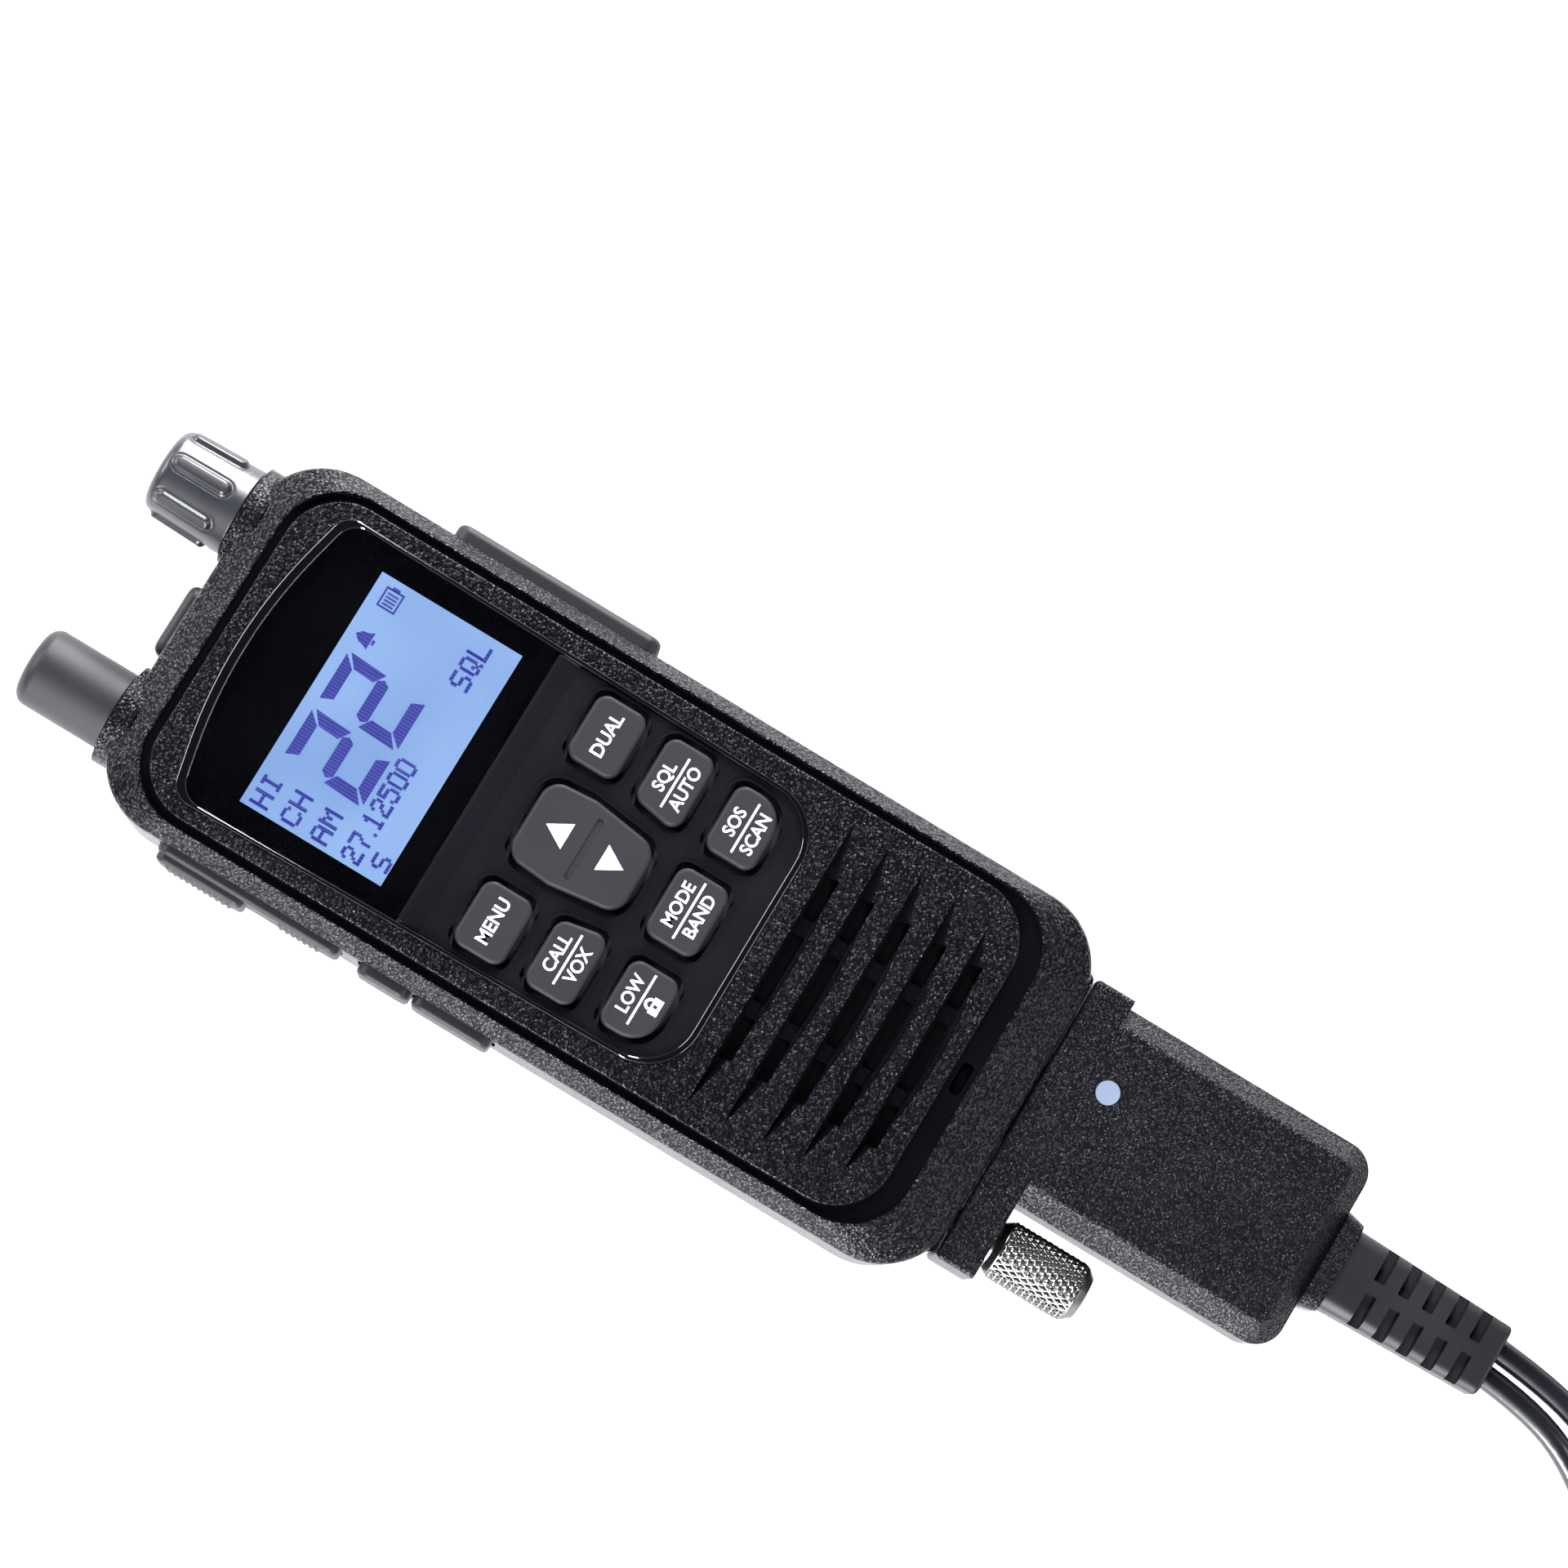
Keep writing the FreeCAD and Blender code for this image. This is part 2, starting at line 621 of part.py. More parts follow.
def make_keys():
    for label, outline in KEYS.items():
        body = plate(label, outline, "key_foot", "key_top")
        dress(body, "Fillet", "key_round", flat_at(number("key_top")))
        flange = sketch_on(body, label + "_flange", offset="key_foot")
        rounded_outline(flange, grown(outline, "key_flange"))
        pad(body, flange, "key_flange_thick")
        node(body, label)
    rocker = NODES[-1]
    bar = sketch_on(rocker, "rocker_bar", offset="key_top")
    rounded_outline(bar, rectangle("-5", "5", "72.6", "73.6", "0.4"))
    pocket(rocker, bar, "rocker_groove")


# Flat inner parts: x from and to, y from and to, corner radius, z from and to.
FLAT_PARTS = {
    "lcd_module": ("-20.2", "20.2", "93.8", "120.4", "0.6", "30.6", "glass_top - glass_thick - 0.1"),
    "keypad_board": ("-23", "23", "48", "90", "2", "board_top - board_thick", "board_top"),
    "main_board": ("-20.8", "20.8", "14", "121", "2", "22.4", "24"),
    "heat_sink": ("-20", "20", "15", "118", "3", "17", "fin_root"),
    "speaker_cloth": ("-19", "19", "12", "44", "6", "under_face - 0.5", "under_face"),
    "adapter_board": ("-7.6", "19.2", "-45", "-8", "1", "22", "23.4"),
}
DOMES = [("-15.7", "78.6"), ("15.7", "78.6"), ("-15.2", "67"), ("15.2", "67"), ("-14.7", "55"),
         ("14.7", "55"), ("0", "55.7")]
SWITCH_ROWS = (77, 88, 110)
JACKS = (("86.5", "1.8"), ("104.5", "1.3"))


def flat_part(label):
    """The body of a flat inner part."""
    left, right, low, high, corner, bottom, top = FLAT_PARTS[label]
    return plate(label, rectangle(left, right, low, high, corner), bottom, top)


def make_electronics():
    for label in ("lcd_module", "main_board", "speaker_cloth"):
        node(flat_part(label), label)
    keyboard = flat_part("keypad_board")
    domes = sketch_on(keyboard, "domes", offset="board_top")
    for x, y in DOMES:
        circle_in(domes, x, y, "dome_radius")
    pad(keyboard, domes, "dome_tall")
    node(keyboard, "keypad_board")
    chassis = flat_part("heat_sink")
    fins = sketch_on(chassis, "fins", offset="fin_root")
    for x in range(-17, 18, 4):
        rounded_outline(fins, rectangle(f"{x} - 0.6", f"{x} + 0.6", "20", "112", "0.3"))
    pad(chassis, fins, "fin_tall")
    node(chassis, "heat_sink")
    can = less("can_hollow", block("can_box", "-14", "14", "52", "90", "24", "28"),
               block("can_inside", "-13.6", "13.6", "52.4", "89.6", "24", "27.6"))
    node(can, "shield_can")
    basket = rod("basket", "z", "0", "speaker_y", "29", "speaker_radius", "4.3")
    magnet = rod("magnet", "z", "0", "speaker_y", "27.6", "9", "2")
    cone = doc.addObject("Part::Cone", "cone_hollow")
    cone.Radius1 = 6
    cone.Radius2 = 16
    cone.Height = 2.8
    bind(cone, "Placement.Base.y", "speaker_y")
    cone.Placement.Base.z = 30.6
    node(less("speaker_cut", joined("speaker_solid", [basket, magnet]), cone), "speaker")
    node(rod("mic", "z", "0", "7.4", "30", "2.9", "3.8"), "microphone")
    switches = []
    for row, y in enumerate(SWITCH_ROWS):
        base = block(f"switch_base{row}", "-25.2", "-20.9", f"{y} - 3", f"{y} + 3", "24.2", "30.2")
        stem = rod(f"switch_stem{row}", "x", "-25.8", str(y), "27.2", "1.2", "0.9")
        switches.append(joined(f"switch{row}", [base, stem]))
    node(group("switches", switches), "side_switches")
    jacks = []
    for row, (y, bore) in enumerate(JACKS):
        shell = block(f"jack_shell{row}", "21", "27.9", f"{y} - 3.6", f"{y} + 3.6", "24", "30.9")
        hole = rod(f"jack_hole{row}", "x", "22", y, "27.6", bore, "7")
        jacks.append(less(f"jack{row}", shell, hole))
    node(group("jacks", jacks), "jack_sockets")
    socket = block("socket_box", "-4", "9", "5.6", "12.5", "20.4", "27.1")
    node(socket, "base_connector")
    insert = less("insert_ring", rod("insert_outer", "y", "screw_x", "0.2", "adapter_axis", "3", "8.5"),
                  rod("insert_bore", "y", "screw_x", "0", "adapter_axis", "shank_radius + 0.05", "9"))
    node(insert, "threaded_insert")


def make_case_screws():
    screws = []
    for index, (x, y) in enumerate(SCREW_PLACES):
        head = rod(f"head{index}", "z", x, y, "back_plane + 0.05", "screw_head", "0.8")
        shaft = rod(f"shaft{index}", "z", x, y, "back_plane + 0.8", "screw_shank", "11")
        screws.append(joined(f"screw{index}", [head, shaft]))
    node(group("screws", screws), "case_screws")


# ---------------------------------------------------------------- top, side controls

KNOB_RIBS = 7


def make_top():
    knob = spun("knob", [("0", "knob_low", "0"), ("knob_radius", "knob_low", "0.5"),
                         ("knob_radius - 0.45", "knob_high", "1.4"), ("0", "knob_high", "0")])
    bore = sketch_on(knob, "knob_bore", "XZ_Plane", "-knob_low")
    circle_in(bore, "0", "0", "shaft_radius")
    pocket(knob, bore, "8")
    flute = sketch_on(knob, "flute", "XZ_Plane", "-(knob_low + 3)")
    for left, right in (("0.95", "1.75"), ("-1.75", "-0.95")):
        rounded_outline(flute, rectangle(left, right, "knob_radius - 1.1", "knob_radius + 1", "0.2"))
    valley = pocket(knob, flute, "knob_high - knob_low - 4.2")
    flutes = knob.newObject("PartDesign::PolarPattern", "Flutes")
    flutes.Originals = [valley]
    flutes.Axis = (flute, ["N_Axis"])
    flutes.Angle = 360
    flutes.Occurrences = KNOB_RIBS
    knob.Tip = flutes
    built(knob, flutes)
    stand_at(knob, "knob_x", "top_axis")
    node(knob, "volume_knob")

    shaft = rod("shaft", "y", "knob_x", "134", "top_axis", "shaft_radius", "15")
    node(shaft, "knob_shaft")
    pot = joined("pot_body", [rod("pot_can", "y", "knob_x", "126.5", "top_axis", "4.6", "10"),
                              rod("pot_bush", "y", "knob_x", "136", "top_axis", "3.5", "5")])
    bore = rod("pot_bore", "y", "knob_x", "133.5", "top_axis", "shaft_radius + 0.05", "8")
    node(less("pot", pot, bore), "volume_control")

    connector = spun("aerial", [
        ("0", "129", "0"), ("3.4", "129", "0"), ("3.4", "133", "0"), ("5.6", "133", "0.3"),
        ("5.6", "135.9", "0"), ("4.9", "135.9", "0"), ("4.9", "142.5", "0.2"),
        ("barrel_radius", "142.5", "0"), ("barrel_radius", "151", "0.5"), ("3.3", "151", "0"),
        ("3.3", "144", "0"), ("0.8", "144", "0"), ("0.8", "150", "0.3"), ("0", "150", "0"),
    ])
    stand_at(connector, "aerial_x", "top_axis")
    node(connector, "antenna_connector")
    cap = spun("cap", [
        ("5.25", "cap_low", "0"), ("cap_radius", "cap_low", "0.4"),
        ("cap_radius", "cap_high", "2"), ("0", "cap_high", "0"), ("0", "152", "0"),
        ("barrel_radius + 0.05", "152", "0"), ("barrel_radius + 0.05", "143", "0"),
        ("5.25", "143", "0"),
    ])
    stand_at(cap, "aerial_x", "top_axis")
    node(cap, "antenna_cap")

    button = new_body("top_key")
    face = sketch_on(button, "top_key", "XZ_Plane", "-(case_long - wall - 1.2)")
    rounded_outline(face, rectangle("button_x - 5.8", "button_x + 5.8", "23.4", "30.6", "1.9"))
    pad(button, face, "wall + 3", reverse=True)
    level = number("case_long + 1.8")
    dress(button, "Fillet", "1.2", lambda edge, middle: edge.BoundBox.YMin > level - 0.01)
    lip = sketch_on(button, "top_lip", "XZ_Plane", "-(case_long - wall - 1.6)")
    rounded_outline(lip, rectangle("button_x - 6.8", "button_x + 6.8", "22.4", "31.6", "2"))
    pad(button, lip, "1.4", reverse=True)
    node(button, "top_button")


def side_key(name, low, high, reach, lip):
    """A key in the left wall: an outer bar with a rounded face, and a flange inside the wall."""
    body = new_body(name)
    bar = sketch_on(body, name, "YZ_Plane", "wall + 0.1 - case_half")
    rounded_outline(bar, rectangle(low, high, "side_low", "side_high", "1.8"))
    pad(body, bar, f"{reach} - (case_half - wall - 0.1)", reverse=True)
    outer = -number(reach)
    dress(body, "Fillet", "side_round", lambda edge, middle: edge.BoundBox.XMax < outer + 0.01)
    flange = sketch_on(body, name + "_flange", "YZ_Plane", "wall + 0.1 - case_half")
    rounded_outline(flange, rectangle(f"{low} - {lip}", f"{high} + 0.15", "side_low - 0.5",
                                      "side_high + 0.5", "1.5"))
    pad(body, flange, "side_flange")
    return body


def make_sides():
    talk = side_key("talk", "talk_low", "talk_high", "talk_reach", "0.3")
    step = sketch_on(talk, "talk_step", "YZ_Plane", "0.6 - talk_reach")
    rounded_outline(step, rectangle("talk_step", "talk_high - 0.4", "side_low + 0.8",
                                    "side_high - 0.8", "1.4"))
    pad(talk, step, "side_reach - talk_reach + 0.6", reverse=True)
    far = -number("side_reach")
    dress(talk, "Fillet", "side_round", lambda edge, middle: edge.BoundBox.XMax < far + 0.01)
    node(talk, "ptt_button")
    node(side_key("upper_key", "83.7", "92.2", "31.6", "0.3"), "side_key_upper")
    node(side_key("lower_key", "70.2", "83.1", "31.6", "0.15"), "side_key_lower")
    cover = new_body("jack_flap")
    face = sketch_on(cover, "jack_flap", "YZ_Plane", "case_half + 0.1")
    rounded_outline(face, rectangle("79", "113.3", "side_low - 0.6", "side_high", "2"))
    pad(cover, face, "side_reach - case_half - 0.1")
    outer = number("side_reach")
    dress(cover, "Fillet", "1.1", lambda edge, middle: edge.BoundBox.XMin > outer - 0.01)
    node(cover, "jack_cover")


# ---------------------------------------------------------------- battery

def make_battery():
    outline = rectangle("-pack_half", "pack_half", "pack_low", "pack_high", "8")
    tray = plate("pack", outline, "0", "pack_tall")
    dress(tray, "Fillet", "2.4", flat_at(0))
    hollow = sketch_on(tray, "pack_hollow", offset="pack_tall")
    inner = rectangle("pack_wall - pack_half", "pack_half - pack_wall", "pack_low + pack_wall",
                      "pack_high - pack_wall", "8 - pack_wall")
    rounded_outline(hollow, inner)
    pocket(tray, hollow, "pack_tall - pack_wall")
    node(tray, "battery_case")
    lid = plate("lid", inner, "pack_tall - 1.4", "pack_tall")
    slots = sketch_on(lid, "contact_slots", offset="pack_tall")
    for x in ("-9", "-3", "3", "9"):
        rounded_outline(slots, rectangle(f"{x} - 1.6", f"{x} + 1.6", "92", "102", "0.3"))
    pocket(lid, slots, "0.5")
    node(lid, "battery_lid")
    strips = [block(f"strip{i}", f"{x} - 1.5", f"{x} + 1.5", "92.2", "101.8", "pack_tall - 0.5",
                    "pack_tall - 0.1") for i, x in enumerate((-9, -3, 3, 9))]
    node(group("strips", strips), "battery_contacts")
    cells = [plate(f"cell{i}", rectangle(f"{x} - 12", f"{x} + 12", "8", "98", "1.5"), "2.2", "12.8")
             for i, x in enumerate((-13, 13))]
    node(group("cells", cells), "battery_cells")
    latch = plate("latch", rectangle("-8", "8", "108.8", "116", "0.8"), "0.6", "4.6")
    grip = sketch_on(latch, "latch_grip", offset="0.6")
    for y in ("110.6", "112.4", "114.2"):
        rounded_outline(grip, rectangle("-6", "6", f"{y} - 0.4", f"{y} + 0.4", "0.2"))
    pocket(latch, grip, "0.5", reverse=True)
    node(latch, "battery_latch")


# ---------------------------------------------------------------- vehicle adapter

FLANGE = [
    ("-flange_half", "flange_end", "0"), ("flange_half", "flange_end", "0"),
    ("flange_half", "flange_top", "0.8"), ("-flange_half", "flange_top", "0.8"),
]
ADAPTER_SCREWS = [("16", "-14"), ("-4.4", "-14"), ("16", "-42"), ("-4.4", "-42")]
HANDLE = [
    ("adapter_left", "adapter_end", "4.5"), ("adapter_right", "adapter_end", "4.5"),
    ("adapter_right", "flange_end", "0"), ("adapter_left", "flange_end", "0"),
]


def make_adapter_half(name, label, top):
    """One half of the adapter's housing, with bevelled long edges and a hollow inside."""
    body = new_body(name)
    side = 1 if top else -1
    limit = number("flange_end")
    handle = sketch_on(body, name, offset="adapter_axis")
    rounded_outline(handle, HANDLE)
    pad(body, handle, "adapter_deep", reverse=not top)
    lies = flat_at(number("adapter_axis") + side * number("adapter_deep"))
    dress(body, "Chamfer", "adapter_bevel",
          lambda edge, middle: lies(edge, middle) and middle.y < limit - 0.1)
    dress(body, "Fillet", "adapter_soft",
          lambda edge, middle: lies(edge, middle) and middle.y < limit - 0.1)
    flange = sketch_on(body, name + "_flange", offset="adapter_axis")
    rounded_outline(flange, FLANGE)
    pad(body, flange, "adapter_deep - 0.3", reverse=not top)
    rests = flat_at(number("adapter_axis") + side * number("adapter_deep - 0.3"))
    dress(body, "Fillet", "0.7", lambda edge, middle: rests(edge, middle) and middle.y > limit + 0.1)
    hollow = sketch_on(body, name + "_hollow", offset="adapter_axis")
    rounded_outline(hollow, rectangle("adapter_left + wall", "adapter_right - wall",
                                      "adapter_end + wall", "flange_top - wall", "2.5"))
    pocket(body, hollow, "adapter_deep - wall", reverse=top)
    ends = sketch_on(body, name + "_ends", "XZ_Plane", "-(flange_top)")
    circle_in(ends, "screw_x", "adapter_axis", "shank_radius + 0.25")
    pocket(body, ends, "9", reverse=True)
    mouth = sketch_on(body, name + "_mouth", "XZ_Plane", "-(flange_top)")
    rounded_outline(mouth, rectangle("-4", "9", "20.5", "27", "0.1"))
    pocket(body, mouth, "wall + 0.5", reverse=True)
    tail = sketch_on(body, name + "_tail", "XZ_Plane", "-(adapter_end)")
    rounded_outline(tail, rectangle("relief_x - 5", "relief_x + 5", "adapter_axis - 3",
                                    "adapter_axis + 3", "1"))
    pocket(body, tail, "wall + 1")
    if top:
        lens = sketch_on(body, "lens_hole", offset="adapter_axis + adapter_deep")
        circle_in(lens, "lens_x", "lens_y", "lens_radius")
        pocket(body, lens, "wall + 0.5")
    else:
        heads = sketch_on(body, "adapter_heads", offset="adapter_axis - adapter_deep")
        for x, y in ADAPTER_SCREWS:
            circle_in(heads, x, y, "adapter_head + 0.1")
        pocket(body, heads, "1.2", reverse=True)
    return node(body, label)


RELIEF_ROWS = 5


def make_adapter():
    make_adapter_half("upper_half", "adapter_front_shell", top=True)
    make_adapter_half("lower_half", "adapter_rear_shell", top=False)
    node(flat_part("adapter_board"), "adapter_board")
    body_block = block("plug_block", "-3.9", "8.9", "flange_top - wall - 0.4", "5.2", "20.6", "26.9")
    pins = [rod(f"plug_pin{i}", "y", str(x), "-8", "25", "0.5", "6.5")
            for i, x in enumerate((-2, 0.25, 2.5, 4.75, 7))]
    node(joined("plug_solid", [body_block] + pins), "adapter_plug")
    lens = joined("lens_solid", [
        rod("lens_stem", "z", "lens_x", "lens_y", "29", "lens_radius - 0.05", "2.6"),
        rod("lens_foot", "z", "lens_x", "lens_y", "28.6", "2.4", "0.8")])
    node(lens, "led_lens")
    screws = []
    for index, (x, y) in enumerate(ADAPTER_SCREWS):
        screws.append(rod(f"adapter_screw{index}", "z", x, y, "16.3", "adapter_head", "0.8"))
    node(group("adapter_screw_set", screws), "adapter_screws")

    head = "screw_radius"
    screw = spun("thumb", [
        ("0", "screw_low", "0"), (f"{head} - 1", "screw_low", "0.2"), (head, "screw_low + 1.2", "0.3"),
        (head, "-8.4", "0.3"), (f"{head} - 0.7", "-7.4", "0"), (f"{head} - 0.7", "-6.9", "0"),
        ("shank_radius", "-6.9", "0"), ("shank_radius", "6.5", "0.4"), ("0", "6.5", "0"),
    ])
    slot = sketch_on(screw, "thumb_slot", "XZ_Plane", "-screw_low")
    rounded_outline(slot, rectangle("-5", "5", "-0.6", "0.6", "0"))
    pocket(screw, slot, "1.4")
    stand_at(screw, "screw_x", "adapter_axis")
    node(screw, "thumbscrew")

    collar = new_body("collar")
    base = sketch_on(collar, "collar", "XZ_Plane", "-(adapter_end)")
    rounded_outline(base, rectangle("relief_x - 8", "relief_x + 8", "adapter_axis - 5.8",
                                    "adapter_axis + 5.8", "3"))
    pad(collar, base, "adapter_end - collar_end", taper=-14)
    neck = sketch_on(collar, "collar_neck", "XZ_Plane", "-(adapter_end)")
    rounded_outline(neck, rectangle("relief_x - 4.9", "relief_x + 4.9", "adapter_axis - 2.9",
                                    "adapter_axis + 2.9", "1"))
    pad(collar, neck, "3.4", reverse=True)
    node(collar, "cable_collar")

    relief = new_body("relief")
    tube = sketch_on(relief, "relief", "XZ_Plane", "-(collar_end)")
    rounded_outline(tube, rectangle("relief_x - relief_wide / 2", "relief_x + relief_wide / 2",
                                    "adapter_axis - relief_tall / 2",
                                    "adapter_axis + relief_tall / 2", "2.2"))
    pad(relief, tube, "collar_end - relief_end", taper=-1.6)
    end = number("relief_end")
    dress(relief, "Fillet", "0.6", lambda edge, middle: edge.BoundBox.YMax < end + 0.01)
    first = "relief_end + 3.4"
    for name, offset, upward in (("over", "adapter_axis + 2.2", True),
                                 ("under", "adapter_axis - 2.2", False)):
        slots = sketch_on(relief, "relief_" + name, offset=offset)
        for left, right in (("relief_x - 8", "relief_x - 1"), ("relief_x + 1", "relief_x + 8")):
            rounded_outline(slots, rectangle(left, right, first, f"{first} + relief_slot", "0.3"))
        cut = pocket(relief, slots, "4", reverse=upward)
        rows = relief.newObject("PartDesign::LinearPattern", "Rows_" + name)
        rows.Originals = [cut]
        rows.Direction = (slots, ["V_Axis"])
        bind(rows, "Length", f"relief_pitch * {RELIEF_ROWS - 1}")
        rows.Occurrences = RELIEF_ROWS
        relief.Tip = rows
        built(relief, rows)
    node(relief, "strain_relief")


# ---------------------------------------------------------------- cords

def cord_tube(name, points):
    """A round cord along straight runs joined by the largest tangent arcs that fit."""
    places = [Vector(*point) for point in points]
    edges = []
    start = places[0]
    radii = []
    for before, here, after in zip(places, places[1:], places[2:]):
        back = before - here
        ahead = after - here
        reach = 0.45 * min(back.Length, ahead.Length)
        turn = math.pi - back.getAngle(ahead)
        bend = reach / math.tan(turn / 2)
        radii.append(round(bend, 1))
        arc_start = here + back.normalize() * reach
        arc_end = here + ahead.normalize() * reach
        inward = (back + ahead).normalize()
        middle = here + inward * (math.hypot(reach, bend) - bend)
        edges.append(Part.LineSegment(start, arc_start).toShape())
        edges.append(Part.Arc(arc_start, middle, arc_end).toShape())
        start = arc_end
    edges.append(Part.LineSegment(start, places[-1]).toShape())
    path = Part.Wire(edges)
    radius = number("cord_radius")
    way = places[1] - places[0]
    ring = Part.Wire([Part.Circle(places[0], way, radius).toShape()])
    tube = path.makePipeShell([ring], True, False)
    print(name, "arc radii", radii, "length", round(path.Length, 1),
          "volume ratio", round(tube.Volume / (math.pi * radius ** 2 * path.Length), 4))
    return tube


def shaped(name, shape, label):
    feature = doc.addObject("Part::Feature", name)
    feature.Shape = Part.makeCompound([shape])
    return node(feature, label)


FLOOR = 1.9
POWER_ROUTE = [
    (3.65, -78.8, 23.75), (2.9, -88.5, 23.1), (-1.4, -99, 20.3), (-9.6, -109.6, 15.2),
    (-19.6, -119.6, 9.4), (-29, -130, 4.4), (-35.6, -142, 2.2), (-36.8, -152, FLOOR),
]
POWER_TAIL = [(-12, -176.8, 9.7), (-3.5, -176.9, 9.9), (5.5, -178.2, 10.4), (14, -181, 10.7)]
AERIAL_ROUTE = [
    (7.95, -78.8, 23.75), (7.2, -88.6, 23.1), (4.4, -98.6, 20.6), (2.6, -109.6, 16),
    (4.6, -120.6, 10.6), (11.4, -130.6, 6), (21.6, -138.6, 3), (32.6, -144.6, 2.1),
    (44, -146.8, FLOOR),
]
AERIAL_TAIL = [(68.8, -122, 5.9), (68.9, -113.5, 6.3), (67, -105, 7.2), (63.5, -98, 7.9)]
POWER_COIL = (-12, -152)
AERIAL_COIL = (44, -122)


def coil_solid(name, label, centre, half):
    """The outer shape of a coil: a rounded ring lying on the floor."""
    body = new_body(name)
    sketch = sketch_on(body, name, "XZ_Plane")
    rounded_outline(sketch, rectangle("coil_radius - coil_half", "coil_radius + coil_half", "0",
                                      f"{half} * 2", "2"))
    ring = body.newObject("PartDesign::Revolution", "Turn_" + name)
    ring.Profile = (sketch, [""])
    ring.ReferenceAxis = (sketch, ["V_Axis"])
    ring.Angle = 360
    built(body, ring)
    bind(body, "Placement.Base.x", str(centre[0]))
    node(body, label, forward=str(centre[1]))


def make_cords():
    power = Part.makeCompound([cord_tube("power_cord", POWER_ROUTE),
                               cord_tube("power_cord tail", POWER_TAIL)])
    shaped("power_tube", power, "power_cord")
    aerial = Part.makeCompound([cord_tube("aerial_cord", AERIAL_ROUTE),
                                cord_tube("aerial_cord tail", AERIAL_TAIL)])
    shaped("aerial_tube", aerial, "aerial_cord")
    coil_solid("power_ring", "power_cord_coil", POWER_COIL, "coil_half")
    coil_solid("aerial_ring", "aerial_cord_coil", AERIAL_COIL, "coil_half_low")


def turned_piece(outline, start, way):
    """A solid of revolution: outline points (distance along the axis, radius)."""
    points = [Vector(0, 0, along) + Vector(radius, 0, 0) for along, radius in outline]
    wire = Part.makePolygon(points + [points[0]])
    solid = Part.Face(wire).revolve(Vector(0, 0, 0), Vector(0, 0, 1), 360)
    solid.Placement = FreeCAD.Placement(start, Rotation(Vector(0, 0, 1), way))
    return solid


def make_plugs():
    r = number("plug_radius")
    start = Vector(*POWER_TAIL[-1])
    way = Vector(1, -0.33, 0).normalize()
    grip = []
    for ring in range(5):
        first = 18 + 2.2 * ring
        grip += [(first, r), (first + 0.3, r - 0.6), (first + 1.1, r - 0.6), (first + 1.4, r)]
    shell = turned_piece([(0, 0), (0, 3.2), (11, 4.4), (13, 7.5), (15, r - 0.8), (16.4, r)] + grip
                         + [(47, r), (47.6, r - 1), (58, r - 1.4), (60, r - 2.4), (61, 5.2),
                            (61, 3.2), (49, 3.2), (49, 0)], start, way)
    side = way.cross(Vector(0, 0, 1))
    springs = []
    for sign in (-1, 1):
        clip = Part.makeBox(16, 3, 1.2, Vector(-8, -1.5, -0.6))
        clip.Placement = FreeCAD.Placement(start + way * 40 + side * (sign * (r - 0.1)),
                                           Rotation(way, Vector(0, 0, 1), side * sign, "XZY"))
        springs.append(clip)
    for clip in springs:
        shell = shell.cut(clip)
    shaped("plug_shell", shell, "lighter_plug_body")
    shaped("plug_springs", Part.makeCompound(springs), "lighter_plug_springs")
    tip = turned_piece([(53.5, 0), (53.5, 3.15), (60, 3.15), (63.5, 2.2), (64.4, 0)], start, way)
    shaped("plug_tip", tip, "lighter_plug_tip")
    begin = Vector(*AERIAL_TAIL[-1])
    along = (begin - Vector(*AERIAL_TAIL[-2])).normalize()
    along = Vector(along.x, along.y, 0).normalize()
    socket = turned_piece([(0, 0), (0, 3), (9, 3.4), (9, 6.4), (12, 6.4), (12, 7.9), (27, 7.9),
                           (27, 6), (19, 6), (19, 2.2), (17, 2.2), (17, 0)], begin, along)
    shaped("aerial_socket_solid", socket, "aerial_socket")


# ---------------------------------------------------------------- build, check and write

make_front_shell()
make_trims()
make_window()
make_keypad_panel()
make_keys()
make_electronics()
make_rear_shell()
make_case_screws()
make_top()
make_sides()
make_battery()
make_adapter()
make_cords()
make_plugs()
doc.recompute()

problems = []
for item in doc.Objects:
    if "Invalid" in item.State or "Error" in item.State:
        problems.append(f"{item.Name} is {item.State}")
for item in NODES:
    if item.Shape.isNull() or not item.Shape.isValid() or not item.Shape.Solids:
        problems.append(f"{item.Label} has no valid shape")
if problems:
    raise RuntimeError("; ".join(problems))

os.makedirs("parts", exist_ok=True)
for item in NODES:
    item.Shape.exportStep(f"parts/{item.Label}.step")
print(len(NODES), "nodes written")
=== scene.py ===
import math

import bmesh
import bpy
from mathutils import Matrix, Vector


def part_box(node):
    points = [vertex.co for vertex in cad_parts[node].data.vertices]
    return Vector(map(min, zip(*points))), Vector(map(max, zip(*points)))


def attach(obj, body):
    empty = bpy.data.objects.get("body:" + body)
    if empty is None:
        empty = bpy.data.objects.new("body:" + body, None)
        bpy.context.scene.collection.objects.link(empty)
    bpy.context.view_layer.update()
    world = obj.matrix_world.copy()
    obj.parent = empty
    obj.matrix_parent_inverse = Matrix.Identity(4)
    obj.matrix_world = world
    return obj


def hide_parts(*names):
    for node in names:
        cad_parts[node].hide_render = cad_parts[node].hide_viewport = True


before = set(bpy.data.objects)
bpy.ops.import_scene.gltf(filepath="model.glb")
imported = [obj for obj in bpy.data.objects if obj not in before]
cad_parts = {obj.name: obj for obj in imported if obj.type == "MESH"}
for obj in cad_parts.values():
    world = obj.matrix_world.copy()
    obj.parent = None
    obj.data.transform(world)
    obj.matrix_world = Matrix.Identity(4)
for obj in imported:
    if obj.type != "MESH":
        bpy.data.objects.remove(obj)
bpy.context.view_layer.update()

MM = 0.001
BASE_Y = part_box("front_shell")[0][1]


